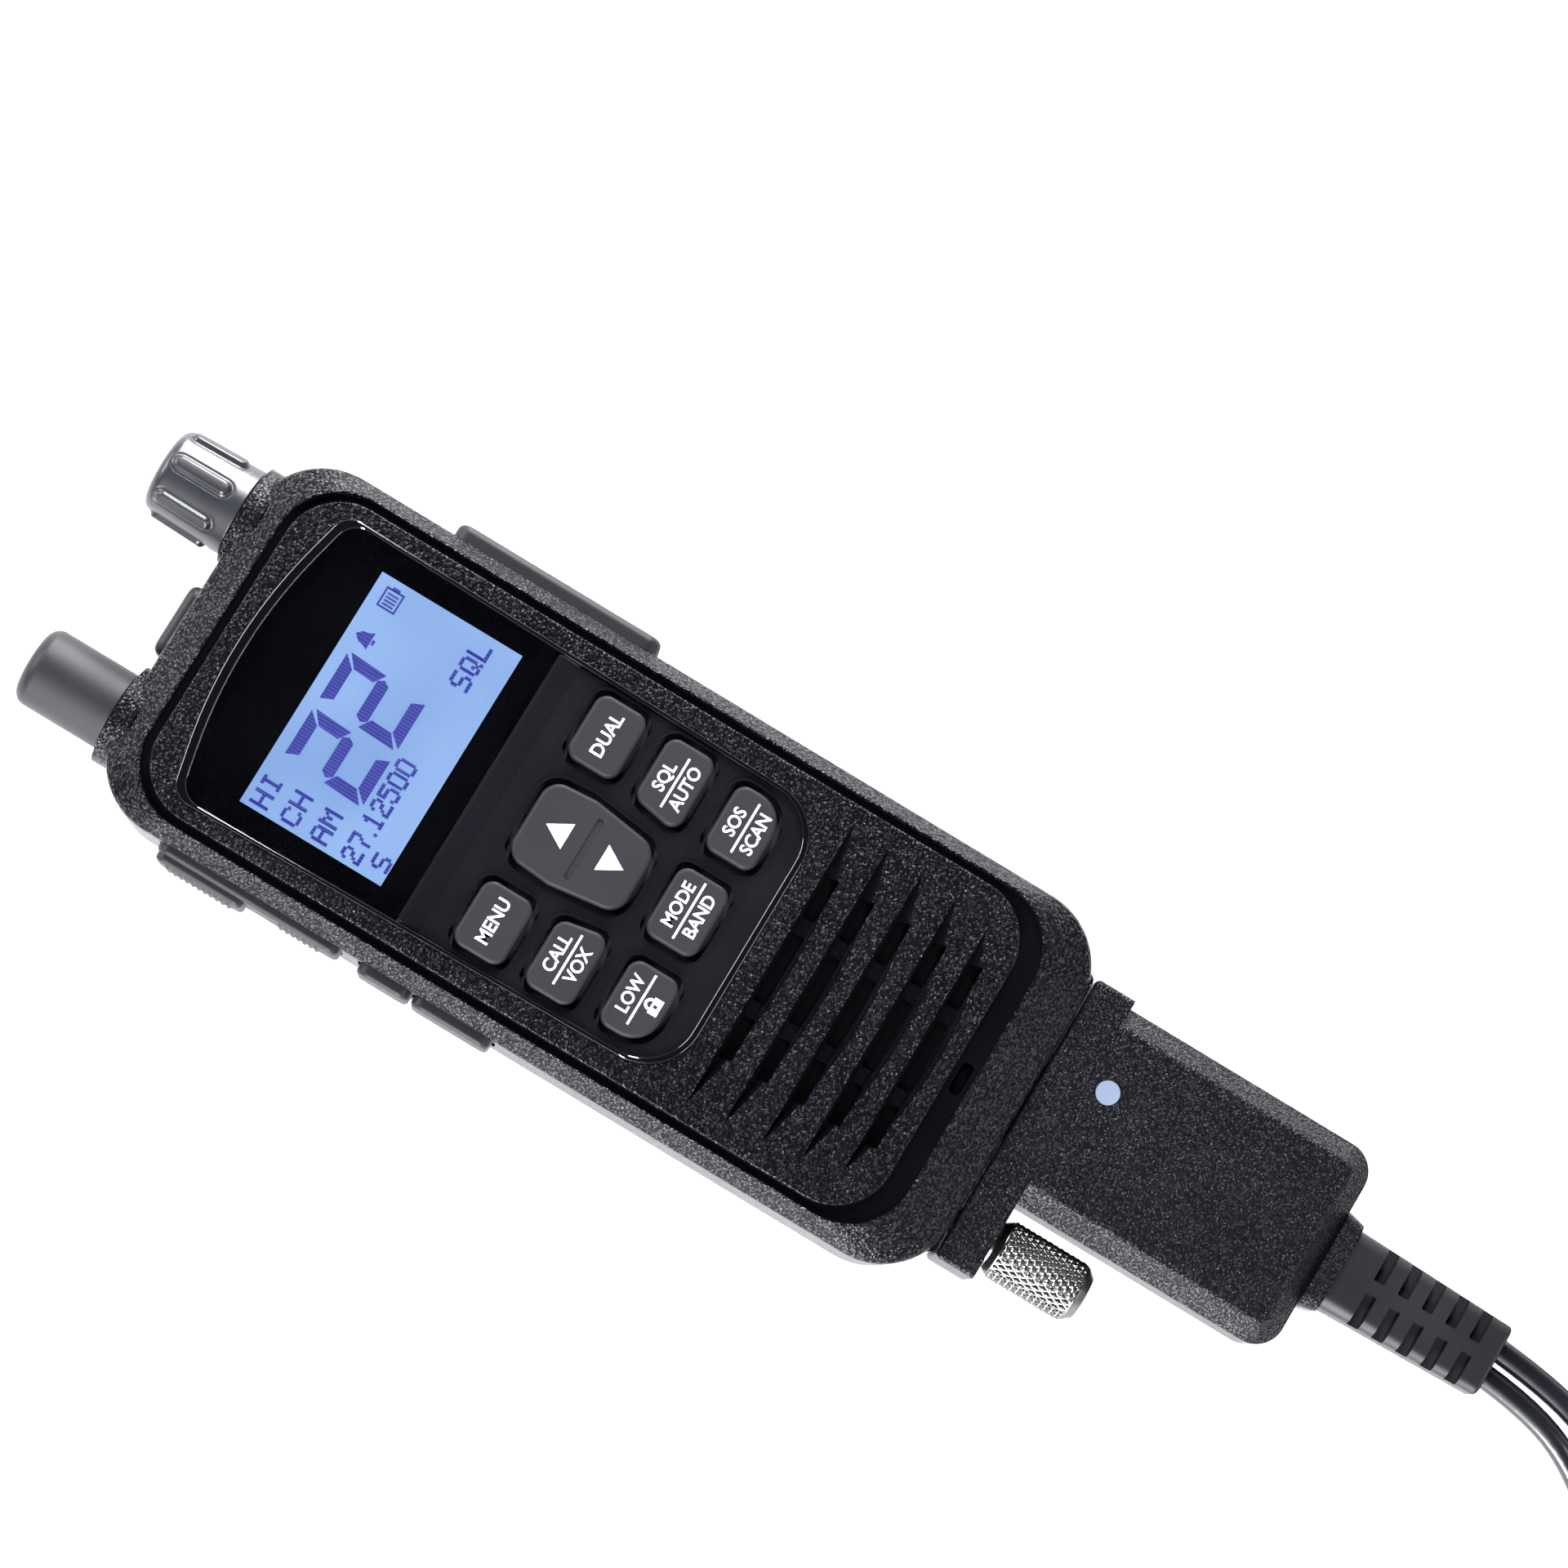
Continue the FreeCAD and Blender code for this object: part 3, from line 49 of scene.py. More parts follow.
def at(x, y, z):
    """A point in millimetres from the middle of the case's bottom edge, in the frame."""
    return Vector((x * MM, BASE_Y + y * MM, z * MM))


# ---------------------------------------------------------------- camera

FOCAL_LENGTH = 103.6
VIEW_BACKWARD = Vector((-0.139, 0, 0.990))
VIEW_RIGHT = Vector((0.5210, -0.8536, 0))
VIEW_CENTRE = at(23.1, 53.4, 37)
VIEW_DISTANCE = 0.65


def make_camera():
    data = bpy.data.cameras.new("camera")
    data.sensor_width = 36
    data.lens = FOCAL_LENGTH
    data.clip_start = 0.02
    camera = bpy.data.objects.new("camera", data)
    bpy.context.scene.collection.objects.link(camera)
    backward = VIEW_BACKWARD.normalized()
    right = (VIEW_RIGHT - VIEW_RIGHT.dot(backward) * backward).normalized()
    up = backward.cross(right)
    turn = Matrix((right, up, backward)).transposed().to_4x4()
    camera.matrix_world = Matrix.Translation(VIEW_CENTRE + backward * VIEW_DISTANCE) @ turn
    bpy.context.scene.camera = camera


make_camera()
bpy.context.scene.view_settings.view_transform = "Standard"


# ---------------------------------------------------------------- materials

BROAD_SCALE = 90
# Grain heights over which the tops turn to the lighter colour, which is partly wear and partly
# painted highlight.
WEAR_AND_SHEEN_FROM = -0.05
WEAR_AND_SHEEN_TO = 0.45
VALLEY_SHINE = 0.2
TOP_SHINE = 1.4
# The box of the loudspeaker slots, and how much of the lighter grain-top colour and shine is left
# inside it: duller walls, plus painted shade in the slot recesses.
SLOT_CORNERS = (at(-26, 12, 33), at(26, 46, 36.8))
SLOT_DULL_AND_SHADE = 0.35


def surface(name, color, rough, grain=0.5, depth=0.02, lighter=1.5, spread=0.06, cells=False,
            metallic=0.0, coat=0.0, specular=0.5, sheen=0.0, wear_and_sheen=None):
    """A procedural finish: broad colour and gloss variation, and a bump of the given grain (mm).

    With a second colour given, the tops of the grain take that colour and shine, and its valleys
    stay dull; the lighter tops are partly wear and partly painted highlight, standing in for light
    glinting on the grain.
    """
    made = bpy.data.materials.new(name)
    made.use_nodes = True
    tree = made.node_tree
    shader = tree.nodes["Principled BSDF"]
    shader.inputs["Metallic"].default_value = metallic
    shader.inputs["Specular IOR Level"].default_value = specular
    shader.inputs["Coat Weight"].default_value = coat
    shader.inputs["Coat Roughness"].default_value = 0.04
    shader.inputs["Sheen Weight"].default_value = sheen
    place = tree.nodes.new("ShaderNodeTexCoord")
    broad = tree.nodes.new("ShaderNodeTexNoise")
    broad.inputs["Scale"].default_value = BROAD_SCALE
    broad.inputs["Detail"].default_value = 5
    tree.links.new(place.outputs["Object"], broad.inputs["Vector"])
    tint = tree.nodes.new("ShaderNodeValToRGB")
    tint.color_ramp.elements[0].position = 0.3
    tint.color_ramp.elements[0].color = (*color, 1)
    tint.color_ramp.elements[1].position = 0.8
    tint.color_ramp.elements[1].color = (*[min(1, part * lighter) for part in color], 1)
    tree.links.new(broad.outputs["Fac"], tint.inputs["Fac"])
    tree.links.new(tint.outputs["Color"], shader.inputs["Base Color"])
    gloss = tree.nodes.new("ShaderNodeMapRange")
    gloss.inputs["To Min"].default_value = max(0.02, rough - spread)
    gloss.inputs["To Max"].default_value = rough + spread
    tree.links.new(broad.outputs["Fac"], gloss.inputs["Value"])
    tree.links.new(gloss.outputs["Result"], shader.inputs["Roughness"])
    bump = tree.nodes.new("ShaderNodeBump")
    bump.name = "relief"
    bump.inputs["Distance"].default_value = depth * MM
    fine = tree.nodes.new("ShaderNodeTexNoise")
    fine.inputs["Scale"].default_value = 1 / (grain * MM)
    fine.inputs["Detail"].default_value = 2
    fine.inputs["Distortion"].default_value = 0.6
    tree.links.new(place.outputs["Object"], fine.inputs["Vector"])
    height = fine.outputs["Fac"]
    if cells:
        pebble = tree.nodes.new("ShaderNodeTexVoronoi")
        pebble.feature = "SMOOTH_F1"
        pebble.inputs["Scale"].default_value = 0.8 / (grain * MM)
        pebble.inputs["Smoothness"].default_value = 0.6
        tree.links.new(place.outputs["Object"], pebble.inputs["Vector"])
        both = tree.nodes.new("ShaderNodeMath")
        both.operation = "SUBTRACT"
        tree.links.new(height, both.inputs[0])
        tree.links.new(pebble.outputs["Distance"], both.inputs[1])
        height = both.outputs["Value"]
    # The lighter colour on the grain's tops is partly wear and partly painted highlight, standing
    # in for glints of light on the grain; the valleys keep the darker colour.
    if wear_and_sheen:
        tops = tree.nodes.new("ShaderNodeMapRange")
        tops.name = "tops"
        tops.inputs["From Min"].default_value = WEAR_AND_SHEEN_FROM
        tops.inputs["From Max"].default_value = WEAR_AND_SHEEN_TO
        tree.links.new(height, tops.inputs["Value"])
        wear_and_sheen_mix = tree.nodes.new("ShaderNodeMix")
        wear_and_sheen_mix.data_type = "RGBA"
        wear_and_sheen_mix.inputs["B"].default_value = (*wear_and_sheen, 1)
        tree.links.new(tops.outputs["Result"], wear_and_sheen_mix.inputs["Factor"])
        tree.links.new(tint.outputs["Color"], wear_and_sheen_mix.inputs["A"])
        tree.links.new(wear_and_sheen_mix.outputs["Result"], shader.inputs["Base Color"])
        shine = tree.nodes.new("ShaderNodeMapRange")
        shine.inputs["To Min"].default_value = specular * VALLEY_SHINE
        shine.inputs["To Max"].default_value = specular * TOP_SHINE
        tree.links.new(tops.outputs["Result"], shine.inputs["Value"])
        tree.links.new(shine.outputs["Result"], shader.inputs["Specular IOR Level"])
    tree.links.new(height, bump.inputs["Height"])
    tree.links.new(bump.outputs["Normal"], shader.inputs["Normal"])
    return made


def smooth_slots(finish):
    """Keep the grain out of the loudspeaker slots, whose walls and ledges are dull; there the
    grain tops also get less of the lighter colour, which is painted shade in the slot recesses.
    """
    tree = finish.node_tree
    split = tree.nodes.new("ShaderNodeSeparateXYZ")
    tree.links.new(tree.nodes["Texture Coordinate"].outputs["Object"], split.inputs["Vector"])
    low, high = SLOT_CORNERS
    inside = None
    for axis in range(3):
        within = tree.nodes.new("ShaderNodeMath")
        within.operation = "COMPARE"
        within.inputs[1].default_value = (low[axis] + high[axis]) / 2
        within.inputs[2].default_value = (high[axis] - low[axis]) / 2
        tree.links.new(split.outputs[axis], within.inputs[0])
        joined = tree.nodes.new("ShaderNodeMath")
        joined.operation = "MULTIPLY"
        joined.inputs[1].default_value = 1
        tree.links.new(within.outputs["Value"], joined.inputs[0])
        if inside:
            tree.links.new(inside.outputs["Value"], joined.inputs[1])
        inside = joined
    outside = tree.nodes.new("ShaderNodeMath")
    outside.operation = "SUBTRACT"
    outside.inputs[0].default_value = 1
    tree.links.new(inside.outputs["Value"], outside.inputs[1])
    tree.links.new(outside.outputs["Value"], tree.nodes["relief"].inputs["Strength"])
    # Inside the slots the grain tops get less shine and less of the lighter colour: the colour
    # part is painted shade in the slot recesses.
    dulled_and_shaded = tree.nodes.new("ShaderNodeMath")
    dulled_and_shaded.operation = "MAXIMUM"
    dulled_and_shaded.inputs[1].default_value = SLOT_DULL_AND_SHADE
    tree.links.new(outside.outputs["Value"], dulled_and_shaded.inputs[0])
    tree.links.new(dulled_and_shaded.outputs["Value"], tree.nodes["tops"].inputs["To Max"])


def glowing(name, color, darker, strength, size, lines=False):
    """A lit display layer whose colour drifts, or changes in fine lines, between two shades."""
    made = bpy.data.materials.new(name)
    made.use_nodes = True
    tree = made.node_tree
    shader = tree.nodes["Principled BSDF"]
    shader.inputs["Roughness"].default_value = 0.5
    shader.inputs["Emission Strength"].default_value = strength
    place = tree.nodes.new("ShaderNodeTexCoord")
    drift = tree.nodes.new("ShaderNodeTexWave" if lines else "ShaderNodeTexNoise")
    drift.inputs["Scale"].default_value = (math.pi / 10 if lines else 1) / (size * MM)
    drift.inputs["Detail"].default_value = 1
    ramp = tree.nodes.new("ShaderNodeValToRGB")
    ramp.color_ramp.elements[0].position = 0.35
    ramp.color_ramp.elements[0].color = (*darker, 1)
    ramp.color_ramp.elements[1].position = 0.65
    ramp.color_ramp.elements[1].color = (*color, 1)
    tree.links.new(place.outputs["Object"], drift.inputs["Vector"])
    tree.links.new(drift.outputs["Fac"], ramp.inputs["Fac"])
    shader.inputs["Base Color"].default_value = (0.01, 0.01, 0.02, 1)
    tree.links.new(ramp.outputs["Color"], shader.inputs["Emission Color"])
    return made


def clear_glass(name):
    """The display window: clear acrylic with very faint surface waviness."""
    made = surface(name, (1, 1, 1), 0.02, grain=6, depth=0.002, spread=0)
    shader = made.node_tree.nodes["Principled BSDF"]
    shader.inputs["Transmission Weight"].default_value = 1
    shader.inputs["IOR"].default_value = 1.49
    return made


# Case and adapter grain: a dark base with lighter grain tops, partly wear and partly painted
# highlight.
CASE = surface("case_grain", (0.0019, 0.0020, 0.0030), 0.22, grain=0.36, depth=0.125, cells=True,
               specular=0.42, wear_and_sheen=(0.0062, 0.0064, 0.0087))
smooth_slots(CASE)
ADAPTER = surface("adapter_grain", (0.0030, 0.0031, 0.0043), 0.22, grain=0.28, depth=0.105,
                  cells=True, specular=0.42, wear_and_sheen=(0.0088, 0.0088, 0.0115))
GLOSS = surface("gloss_black", (0.002, 0.002, 0.003), 0.05, grain=5, depth=0.003, spread=0.02,
                coat=1.0)
KEY = surface("key_rubber", (0.0105, 0.0105, 0.0138), 0.60, grain=0.25, depth=0.012, lighter=1.15,
              specular=0.3)
PANEL = surface("panel_matte", (0.0035, 0.0035, 0.0052), 0.30, grain=0.22, depth=0.02, lighter=1.3,
                specular=0.3)
RUBBER = surface("soft_rubber", (0.005, 0.0052, 0.0062), 0.52, grain=0.3, depth=0.015,
                 specular=0.4, sheen=0.05)
KNOB = surface("knob_plastic", (0.012, 0.0123, 0.0155), 0.34, grain=0.3, depth=0.012,
               specular=0.65)
RELIEF = surface("relief_rubber", (0.0055, 0.0056, 0.0066), 0.45, grain=0.3, depth=0.02,
                 specular=0.4)
CORD = surface("cord_jacket", (0.005, 0.005, 0.007), 0.24, grain=3, depth=0.02, coat=0.15)
PLUG = surface("plug_plastic", (0.011, 0.011, 0.012), 0.34, grain=0.3, depth=0.02)
NICKEL = surface("nickel", (0.16, 0.156, 0.152), 0.26, grain=0.3, depth=0.006, lighter=1.25,
                 metallic=1.0)
STEEL = surface("screw_steel", (0.32, 0.32, 0.33), 0.35, grain=0.2, depth=0.006, metallic=1.0)
BRASS = surface("brass", (0.62, 0.45, 0.18), 0.3, grain=0.3, depth=0.006, metallic=1.0)
TIN = surface("tin_plate", (0.55, 0.56, 0.58), 0.32, grain=0.6, depth=0.01, metallic=1.0)
ALLOY = surface("cast_alloy", (0.36, 0.36, 0.37), 0.5, grain=0.5, depth=0.05, metallic=1.0,
                cells=True)
BOARD = surface("circuit_board", (0.012, 0.09, 0.035), 0.35, grain=1.2, depth=0.03)
LCD_BODY = surface("lcd_body", (0.25, 0.29, 0.32), 0.4, grain=0.4, depth=0.01)
# Black cloth taken darker than its own black: painted shade in the slot windows and the microphone
# hole.
CLOTH = surface("dust_cloth", (0.0010, 0.0010, 0.0012), 0.95, grain=0.35, depth=0.1, specular=0.03,
                cells=True)
SEAL = surface("seal_rubber", (0.02, 0.02, 0.021), 0.7, grain=0.3, depth=0.02)
WRAP = surface("cell_wrap", (0.05, 0.12, 0.33), 0.3, grain=2, depth=0.02)
LENS = surface("led_lens", (0.145, 0.175, 0.25), 0.35, grain=0.8, depth=0.01, lighter=1.2)
PRINT = surface("white_print", (0.85, 0.85, 0.85), 0.5, grain=0.15, depth=0.004, lighter=1.1)
TIE = surface("tie_strap", (0.014, 0.014, 0.015), 0.85, grain=0.3, depth=0.12, sheen=0.4,
              cells=True)
GLASS = clear_glass("window_glass")
LCD_LIT = glowing("lcd_lit", (0.30, 0.50, 0.90), (0.24, 0.42, 0.80), 1.0, 18)
LCD_INK = glowing("lcd_ink", (0.058, 0.080, 0.50), (0.012, 0.016, 0.30), 1.0, 0.5, lines=True)

FINISHES = {
    CASE: ["front_shell", "rear_shell", "battery_case", "battery_lid", "battery_latch"],
    ADAPTER: ["adapter_front_shell", "adapter_rear_shell", "cable_collar"],
    GLOSS: ["trim_ring", "bezel_ring"],
    PANEL: ["keypad_panel"],
    KEY: ["key_function", "key_watch", "key_voice", "key_squelch", "key_lock", "key_alert",
          "key_band", "key_up_down"],
    RUBBER: ["jack_cover", "antenna_cap", "ptt_button", "side_key_upper", "side_key_lower",
             "top_button"],
    GLASS: ["display_window"],
    LCD_BODY: ["lcd_module"],
    BOARD: ["keypad_board", "main_board", "adapter_board"],
    TIN: ["shield_can"],
    ALLOY: ["heat_sink"],
    STEEL: ["speaker", "case_screws", "adapter_screws", "knob_shaft"],
    # The microphone takes the cloth's darkened black, which is painted shade in the microphone
    # hole.
    CLOTH: ["speaker_cloth", "microphone"],
    SEAL: ["case_gasket"],
    NICKEL: ["thumbscrew", "lighter_plug_springs", "lighter_plug_tip",
             "volume_control"],
    BRASS: ["threaded_insert", "battery_contacts", "antenna_connector"],
    PLUG: ["side_switches", "jack_sockets", "base_connector", "adapter_plug",
           "lighter_plug_body", "aerial_socket"],
    WRAP: ["battery_cells"],
    LENS: ["led_lens"],
    RELIEF: ["strain_relief"],
    KNOB: ["volume_knob"],
    CORD: ["power_cord", "aerial_cord", "power_cord_coil", "aerial_cord_coil"],
}


def finish_nodes():
    for finish, names in FINISHES.items():
        for name in names:
            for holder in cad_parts[name].material_slots:
                holder.material = finish


finish_nodes()


# ---------------------------------------------------------------- mesh helpers

def mesh_piece(name, verts, faces, finish, body, smooth=True):
    """A new mesh in the frame that rides on a body."""
    data = bpy.data.meshes.new(name)
    data.from_pydata([tuple(v) for v in verts], [], faces)
    shaped = bmesh.new()
    shaped.from_mesh(data)
    bmesh.ops.recalc_face_normals(shaped, faces=shaped.faces)
    shaped.to_mesh(data)
    shaped.free()
    data.materials.append(finish)
    for face in data.polygons:
        face.use_smooth = smooth
    piece = bpy.data.objects.new(name, data)
    bpy.context.scene.collection.objects.link(piece)
    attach(piece, body)
    return piece


def slab(verts, faces, outline, low, high):
    """Add a flat prism with the outline (x, y), between two heights, to a list of parts."""
    first = len(verts)
    count = len(outline)
    verts += [at(x, y, low) for x, y in outline] + [at(x, y, high) for x, y in outline]
    faces.append([first + i for i in range(count)][::-1])
    faces.append([first + count + i for i in range(count)])
    for i in range(count):
        after = (i + 1) % count
        faces.append([first + i, first + after, first + count + after, first + count + i])


def turned(name, centre, rows, columns, radius_at, finish, body, ends=(True, True)):
    """A shape round an axis along Y: radius_at(y, angle), angle 0 faces up (+Z)."""
    x, z = centre
    verts = []
    faces = []
    for y in rows:
        for i in range(columns):
            angle = 2 * math.pi * i / columns
            radius = radius_at(y, angle)
            verts.append(at(x + radius * math.sin(angle), y, z + radius * math.cos(angle)))
    for row in range(len(rows) - 1):
        for i in range(columns):
            after = (i + 1) % columns
            low = row * columns
            faces.append([low + i, low + after, low + columns + after, low + columns + i])
    for shown, row in zip(ends, (0, len(rows) - 1)):
        if shown:
            verts.append(at(x, rows[row], z))
            middle = len(verts) - 1
            for i in range(columns):
                faces.append([row * columns + i, row * columns + (i + 1) % columns, middle])
    return mesh_piece(name, verts, faces, finish, body)


def ease(low, high, value):
    """0 below low, 1 above high, and smooth between them."""
    part = min(1, max(0, (value - low) / (high - low)))
    return part * part * (3 - 2 * part)


def steps(low, high, count):
    return [low + (high - low) * i / count for i in range(count + 1)]


# ---------------------------------------------------------------- cords

CORD_WIDE = 3.8
LAYERS = (1.9, 5.8, 9.7)
RINGS = (24.8, 21.0, 17.2)
PER_TURN = 16
POWER_ROUTE = [
    (3.65, -78.8, 23.75), (2.9, -88.5, 23.1), (-1.4, -99, 20.3), (-9.6, -109.6, 15.2),
    (-19.6, -119.6, 9.4), (-29, -130, 4.4), (-35.6, -142, 2.2), (-36.8, -152, 1.9),
]
POWER_TAIL = [(-12, -176.8, 9.7), (-3.5, -176.9, 9.9), (5.5, -178.2, 10.4), (14, -181, 10.7)]
AERIAL_ROUTE = [
    (7.95, -78.8, 23.75), (7.2, -88.6, 23.1), (4.4, -98.6, 20.6), (2.6, -109.6, 16),
    (4.6, -120.6, 10.6), (11.4, -130.6, 6), (21.6, -138.6, 3), (32.6, -144.6, 2.1),
    (44, -146.8, 1.9),
]
AERIAL_TAIL = [(68.8, -122, 5.9), (68.9, -113.5, 6.3), (67, -105, 7.2), (63.5, -98, 7.9)]
POWER_COIL = (-12, -152)
POWER_START = 180
POWER_STAY = 330
AERIAL_COIL = (44, -122)
AERIAL_START = 270
AERIAL_STAY = 315
MOVE_ANGLE = 60
TIE_HALF = 6.1
TIE_WIDE = 3
TIE_ROUND = 1.4
TIE_INSIDE = 0.9


def coil_turns(centre, start, cells, stay):
    """Turns wound one cell after another; a cell is (radius, height), held for stay degrees."""
    step = 360 / PER_TURN
    pull = 0.75 + 0.25 * math.cos(math.radians(step))
    total = stay * len(cells)
    points = []
    for i in range(1, int(total / step)):
        turn = i * step
        index = min(int(turn / stay), len(cells) - 1)
        radius, height = cells[index]
        if index + 1 < len(cells):
            move = ease(stay - MOVE_ANGLE, stay, turn - index * stay)
            radius += move * (cells[index + 1][0] - radius)
            height += move * (cells[index + 1][1] - height)
        angle = math.radians(start + turn)
        points.append((centre[0] + radius / pull * math.cos(angle),
                       centre[1] + radius / pull * math.sin(angle), height))
    return points


def cord_curve(name, points, body):
    data = bpy.data.curves.new(name, "CURVE")
    data.dimensions = "3D"
    data.bevel_depth = CORD_WIDE / 2 * MM
    data.bevel_resolution = 6
    data.resolution_u = 6
    data.use_fill_caps = True
    spline = data.splines.new("NURBS")
    spline.points.add(len(points) - 1)
    for point, place in zip(spline.points, points):
        point.co = (*at(*place), 1)
    spline.order_u = 3
    spline.use_endpoint_u = True
    data.materials.append(CORD)
    cord = bpy.data.objects.new(name, data)
    bpy.context.scene.collection.objects.link(cord)
    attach(cord, body)
    return cord


def tie_band(name, centre, angle, height):
    """A strap round a coil's section: a rounded ring with an overlapping tail."""
    turn = math.radians(angle)
    outward = Vector((math.cos(turn), math.sin(turn), 0))
    along = Vector((-math.sin(turn), math.cos(turn), 0))
    middle = at(centre[0], centre[1], 0) + outward * RINGS[1] * MM
    side = TIE_HALF - TIE_ROUND
    top = height + TIE_ROUND - TIE_INSIDE
    loop = []
    for cx, cz, first in ((side, top - TIE_ROUND, 0), (-side, top - TIE_ROUND, 90),
                          (-side, TIE_ROUND, 180), (side, TIE_ROUND, 270)):
        for k in range(5):
            bend = math.radians(first + 22.5 * k)
            loop.append((cx, cz, math.cos(bend), math.sin(bend)))
    verts = []
    faces = []
    count = len(loop)
    for shift in (-TIE_WIDE, TIE_WIDE):
        for radius in (TIE_ROUND, TIE_INSIDE):
            for cx, cz, c, s in loop:
                verts.append(middle + outward * (cx + radius * c) * MM + along * shift * MM
                             + Vector((0, 0, (cz + radius * s) * MM)))
    for i in range(count):
        after = (i + 1) % count
        for a, b in ((0, 1), (1, 3), (3, 2), (2, 0)):
            faces.append([a * count + i, a * count + after, b * count + after, b * count + i])
    first = len(verts)
    for out, lift in ((-3.4, 0.02), (4.2, 0.02), (5.4, 0.35), (-3.4, 0.55), (4.2, 0.55),
                      (5.4, 0.75)):
        for shift in (-TIE_WIDE, TIE_WIDE):
            verts.append(middle + outward * out * MM + along * shift * MM
                         + Vector((0, 0, (top + lift) * MM)))
    for quad in ((0, 1, 3, 2), (2, 3, 5, 4), (6, 7, 9, 8), (8, 9, 11, 10), (0, 1, 7, 6),
                 (4, 5, 11, 10), (0, 2, 8, 6), (1, 3, 9, 7), (2, 4, 10, 8), (3, 5, 11, 9)):
        faces.append([first + k for k in quad])
    return mesh_piece(name, verts, faces, TIE, "adapter", smooth=False)


def make_cords():
    low, middle, high = LAYERS
    outer, between, inner = RINGS
    nine = [(outer, low), (between, low), (inner, low), (inner, middle), (inner, high),
            (between, high), (between, middle), (outer, middle), (outer, high)]
    power = cord_curve("power_lead",
                       POWER_ROUTE + coil_turns(POWER_COIL, POWER_START, nine, POWER_STAY)
                       + POWER_TAIL,
                       "adapter")
    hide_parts("power_cord", "power_cord_coil")
    six = [(outer, low), (between, low), (inner, low), (inner, middle), (between, middle),
           (outer, middle)]
    aerial = cord_curve("aerial_lead",
                        AERIAL_ROUTE + coil_turns(AERIAL_COIL, AERIAL_START, six, AERIAL_STAY)
                        + AERIAL_TAIL,
                        "adapter")
    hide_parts("aerial_cord", "aerial_cord_coil")
    tie_band("power_tie", POWER_COIL, 0, 11.6)
    tie_band("power_tie_far", POWER_COIL, 120, 11.6)
    tie_band("aerial_tie", AERIAL_COIL, 90, 7.7)


make_cords()


# ---------------------------------------------------------------- display

GLASS_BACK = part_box("display_window")[0][2] / MM
SCREEN = (-19.5, 19.5, 95.2, 118.8)
DOT_SPREAD = 0.1
INK_THICK = 0.01
GLYPHS = {
    "0": (14, 17, 17, 17, 17, 17, 14), "1": (4, 12, 4, 4, 4, 4, 14),
    "2": (14, 17, 1, 6, 8, 16, 31), "5": (31, 16, 30, 1, 1, 17, 14),
    "7": (31, 1, 1, 2, 4, 4, 4), ".": (0, 0, 0, 0, 0, 0, 8),
    "A": (14, 17, 17, 31, 17, 17, 17), "C": (14, 17, 16, 16, 16, 17, 14),
    "H": (17, 17, 17, 31, 17, 17, 17), "I": (14, 4, 4, 4, 4, 4, 14),
    "L": (16, 16, 16, 16, 16, 16, 31), "M": (17, 27, 21, 21, 17, 17, 17),
    "Q": (14, 17, 17, 17, 21, 18, 13), "S": (15, 16, 16, 14, 1, 1, 30),
}


def dotted(verts, faces, text, left, low, wide, tall, level):
    """Characters of five by seven dots; wide and tall are the sizes of one dot's cell."""
    pen = left
    for letter in text:
        for row, bits in enumerate(GLYPHS[letter]):
            for column in range(5):
                if bits & (16 >> column):
                    x = pen + column * wide
                    y = low + (6 - row) * tall
                    right = x + wide + DOT_SPREAD
                    top = y + tall + DOT_SPREAD
                    slab(verts, faces, [(x, y), (right, y), (right, top), (x, top)], level,
                         level + INK_THICK)
        pen += wide * (3.2 if letter == "." else 6)


def segment_digit(verts, faces, left, right, low, high, level):
    """A seven-segment figure two with mitred ends, leaning a little."""
    thick = 1.9
    gap = 0.16
    slant = 0.05
    middle = (low + high) / 2

    def lean(x, y):
        return (x + (y - low) * slant, y)

    def bar_across(y0, y1, ends):
        cut = y1 - y0
        outline = [(left + ends[0] * cut + gap, y0), (right - ends[1] * cut - gap, y0),
                   (right - ends[2] * cut - gap, y1), (left + ends[3] * cut + gap, y1)]
        slab(verts, faces, [lean(x, y) for x, y in outline], level, level + INK_THICK)

    def bar_up(x0, x1, y0, y1, cuts):
        outline = [(x0, y0 + cuts[0] + gap), (x1, y0 + cuts[1] + gap),
                   (x1, y1 - cuts[2] - gap), (x0, y1 - cuts[3] - gap)]
        slab(verts, faces, [lean(x, y) for x, y in outline], level, level + INK_THICK)

    half = thick / 2
    bar_across(high - thick, high, (0.6, 1, 0.15, 0.1))
    bar_across(middle - half, middle, (1.2, 1.2, 0.6, 0.6))
    bar_across(middle, middle + half, (0.6, 0.6, 1.2, 1.2))
    bar_across(low, low + thick, (0.15, 0.1, 0.6, 1))
    bar_up(right - thick, right, middle, high, (half + 0.25, 0, 0.3, thick))
    bar_up(left, left + thick, low, middle, (0.3, thick, half + 0.25, 0))


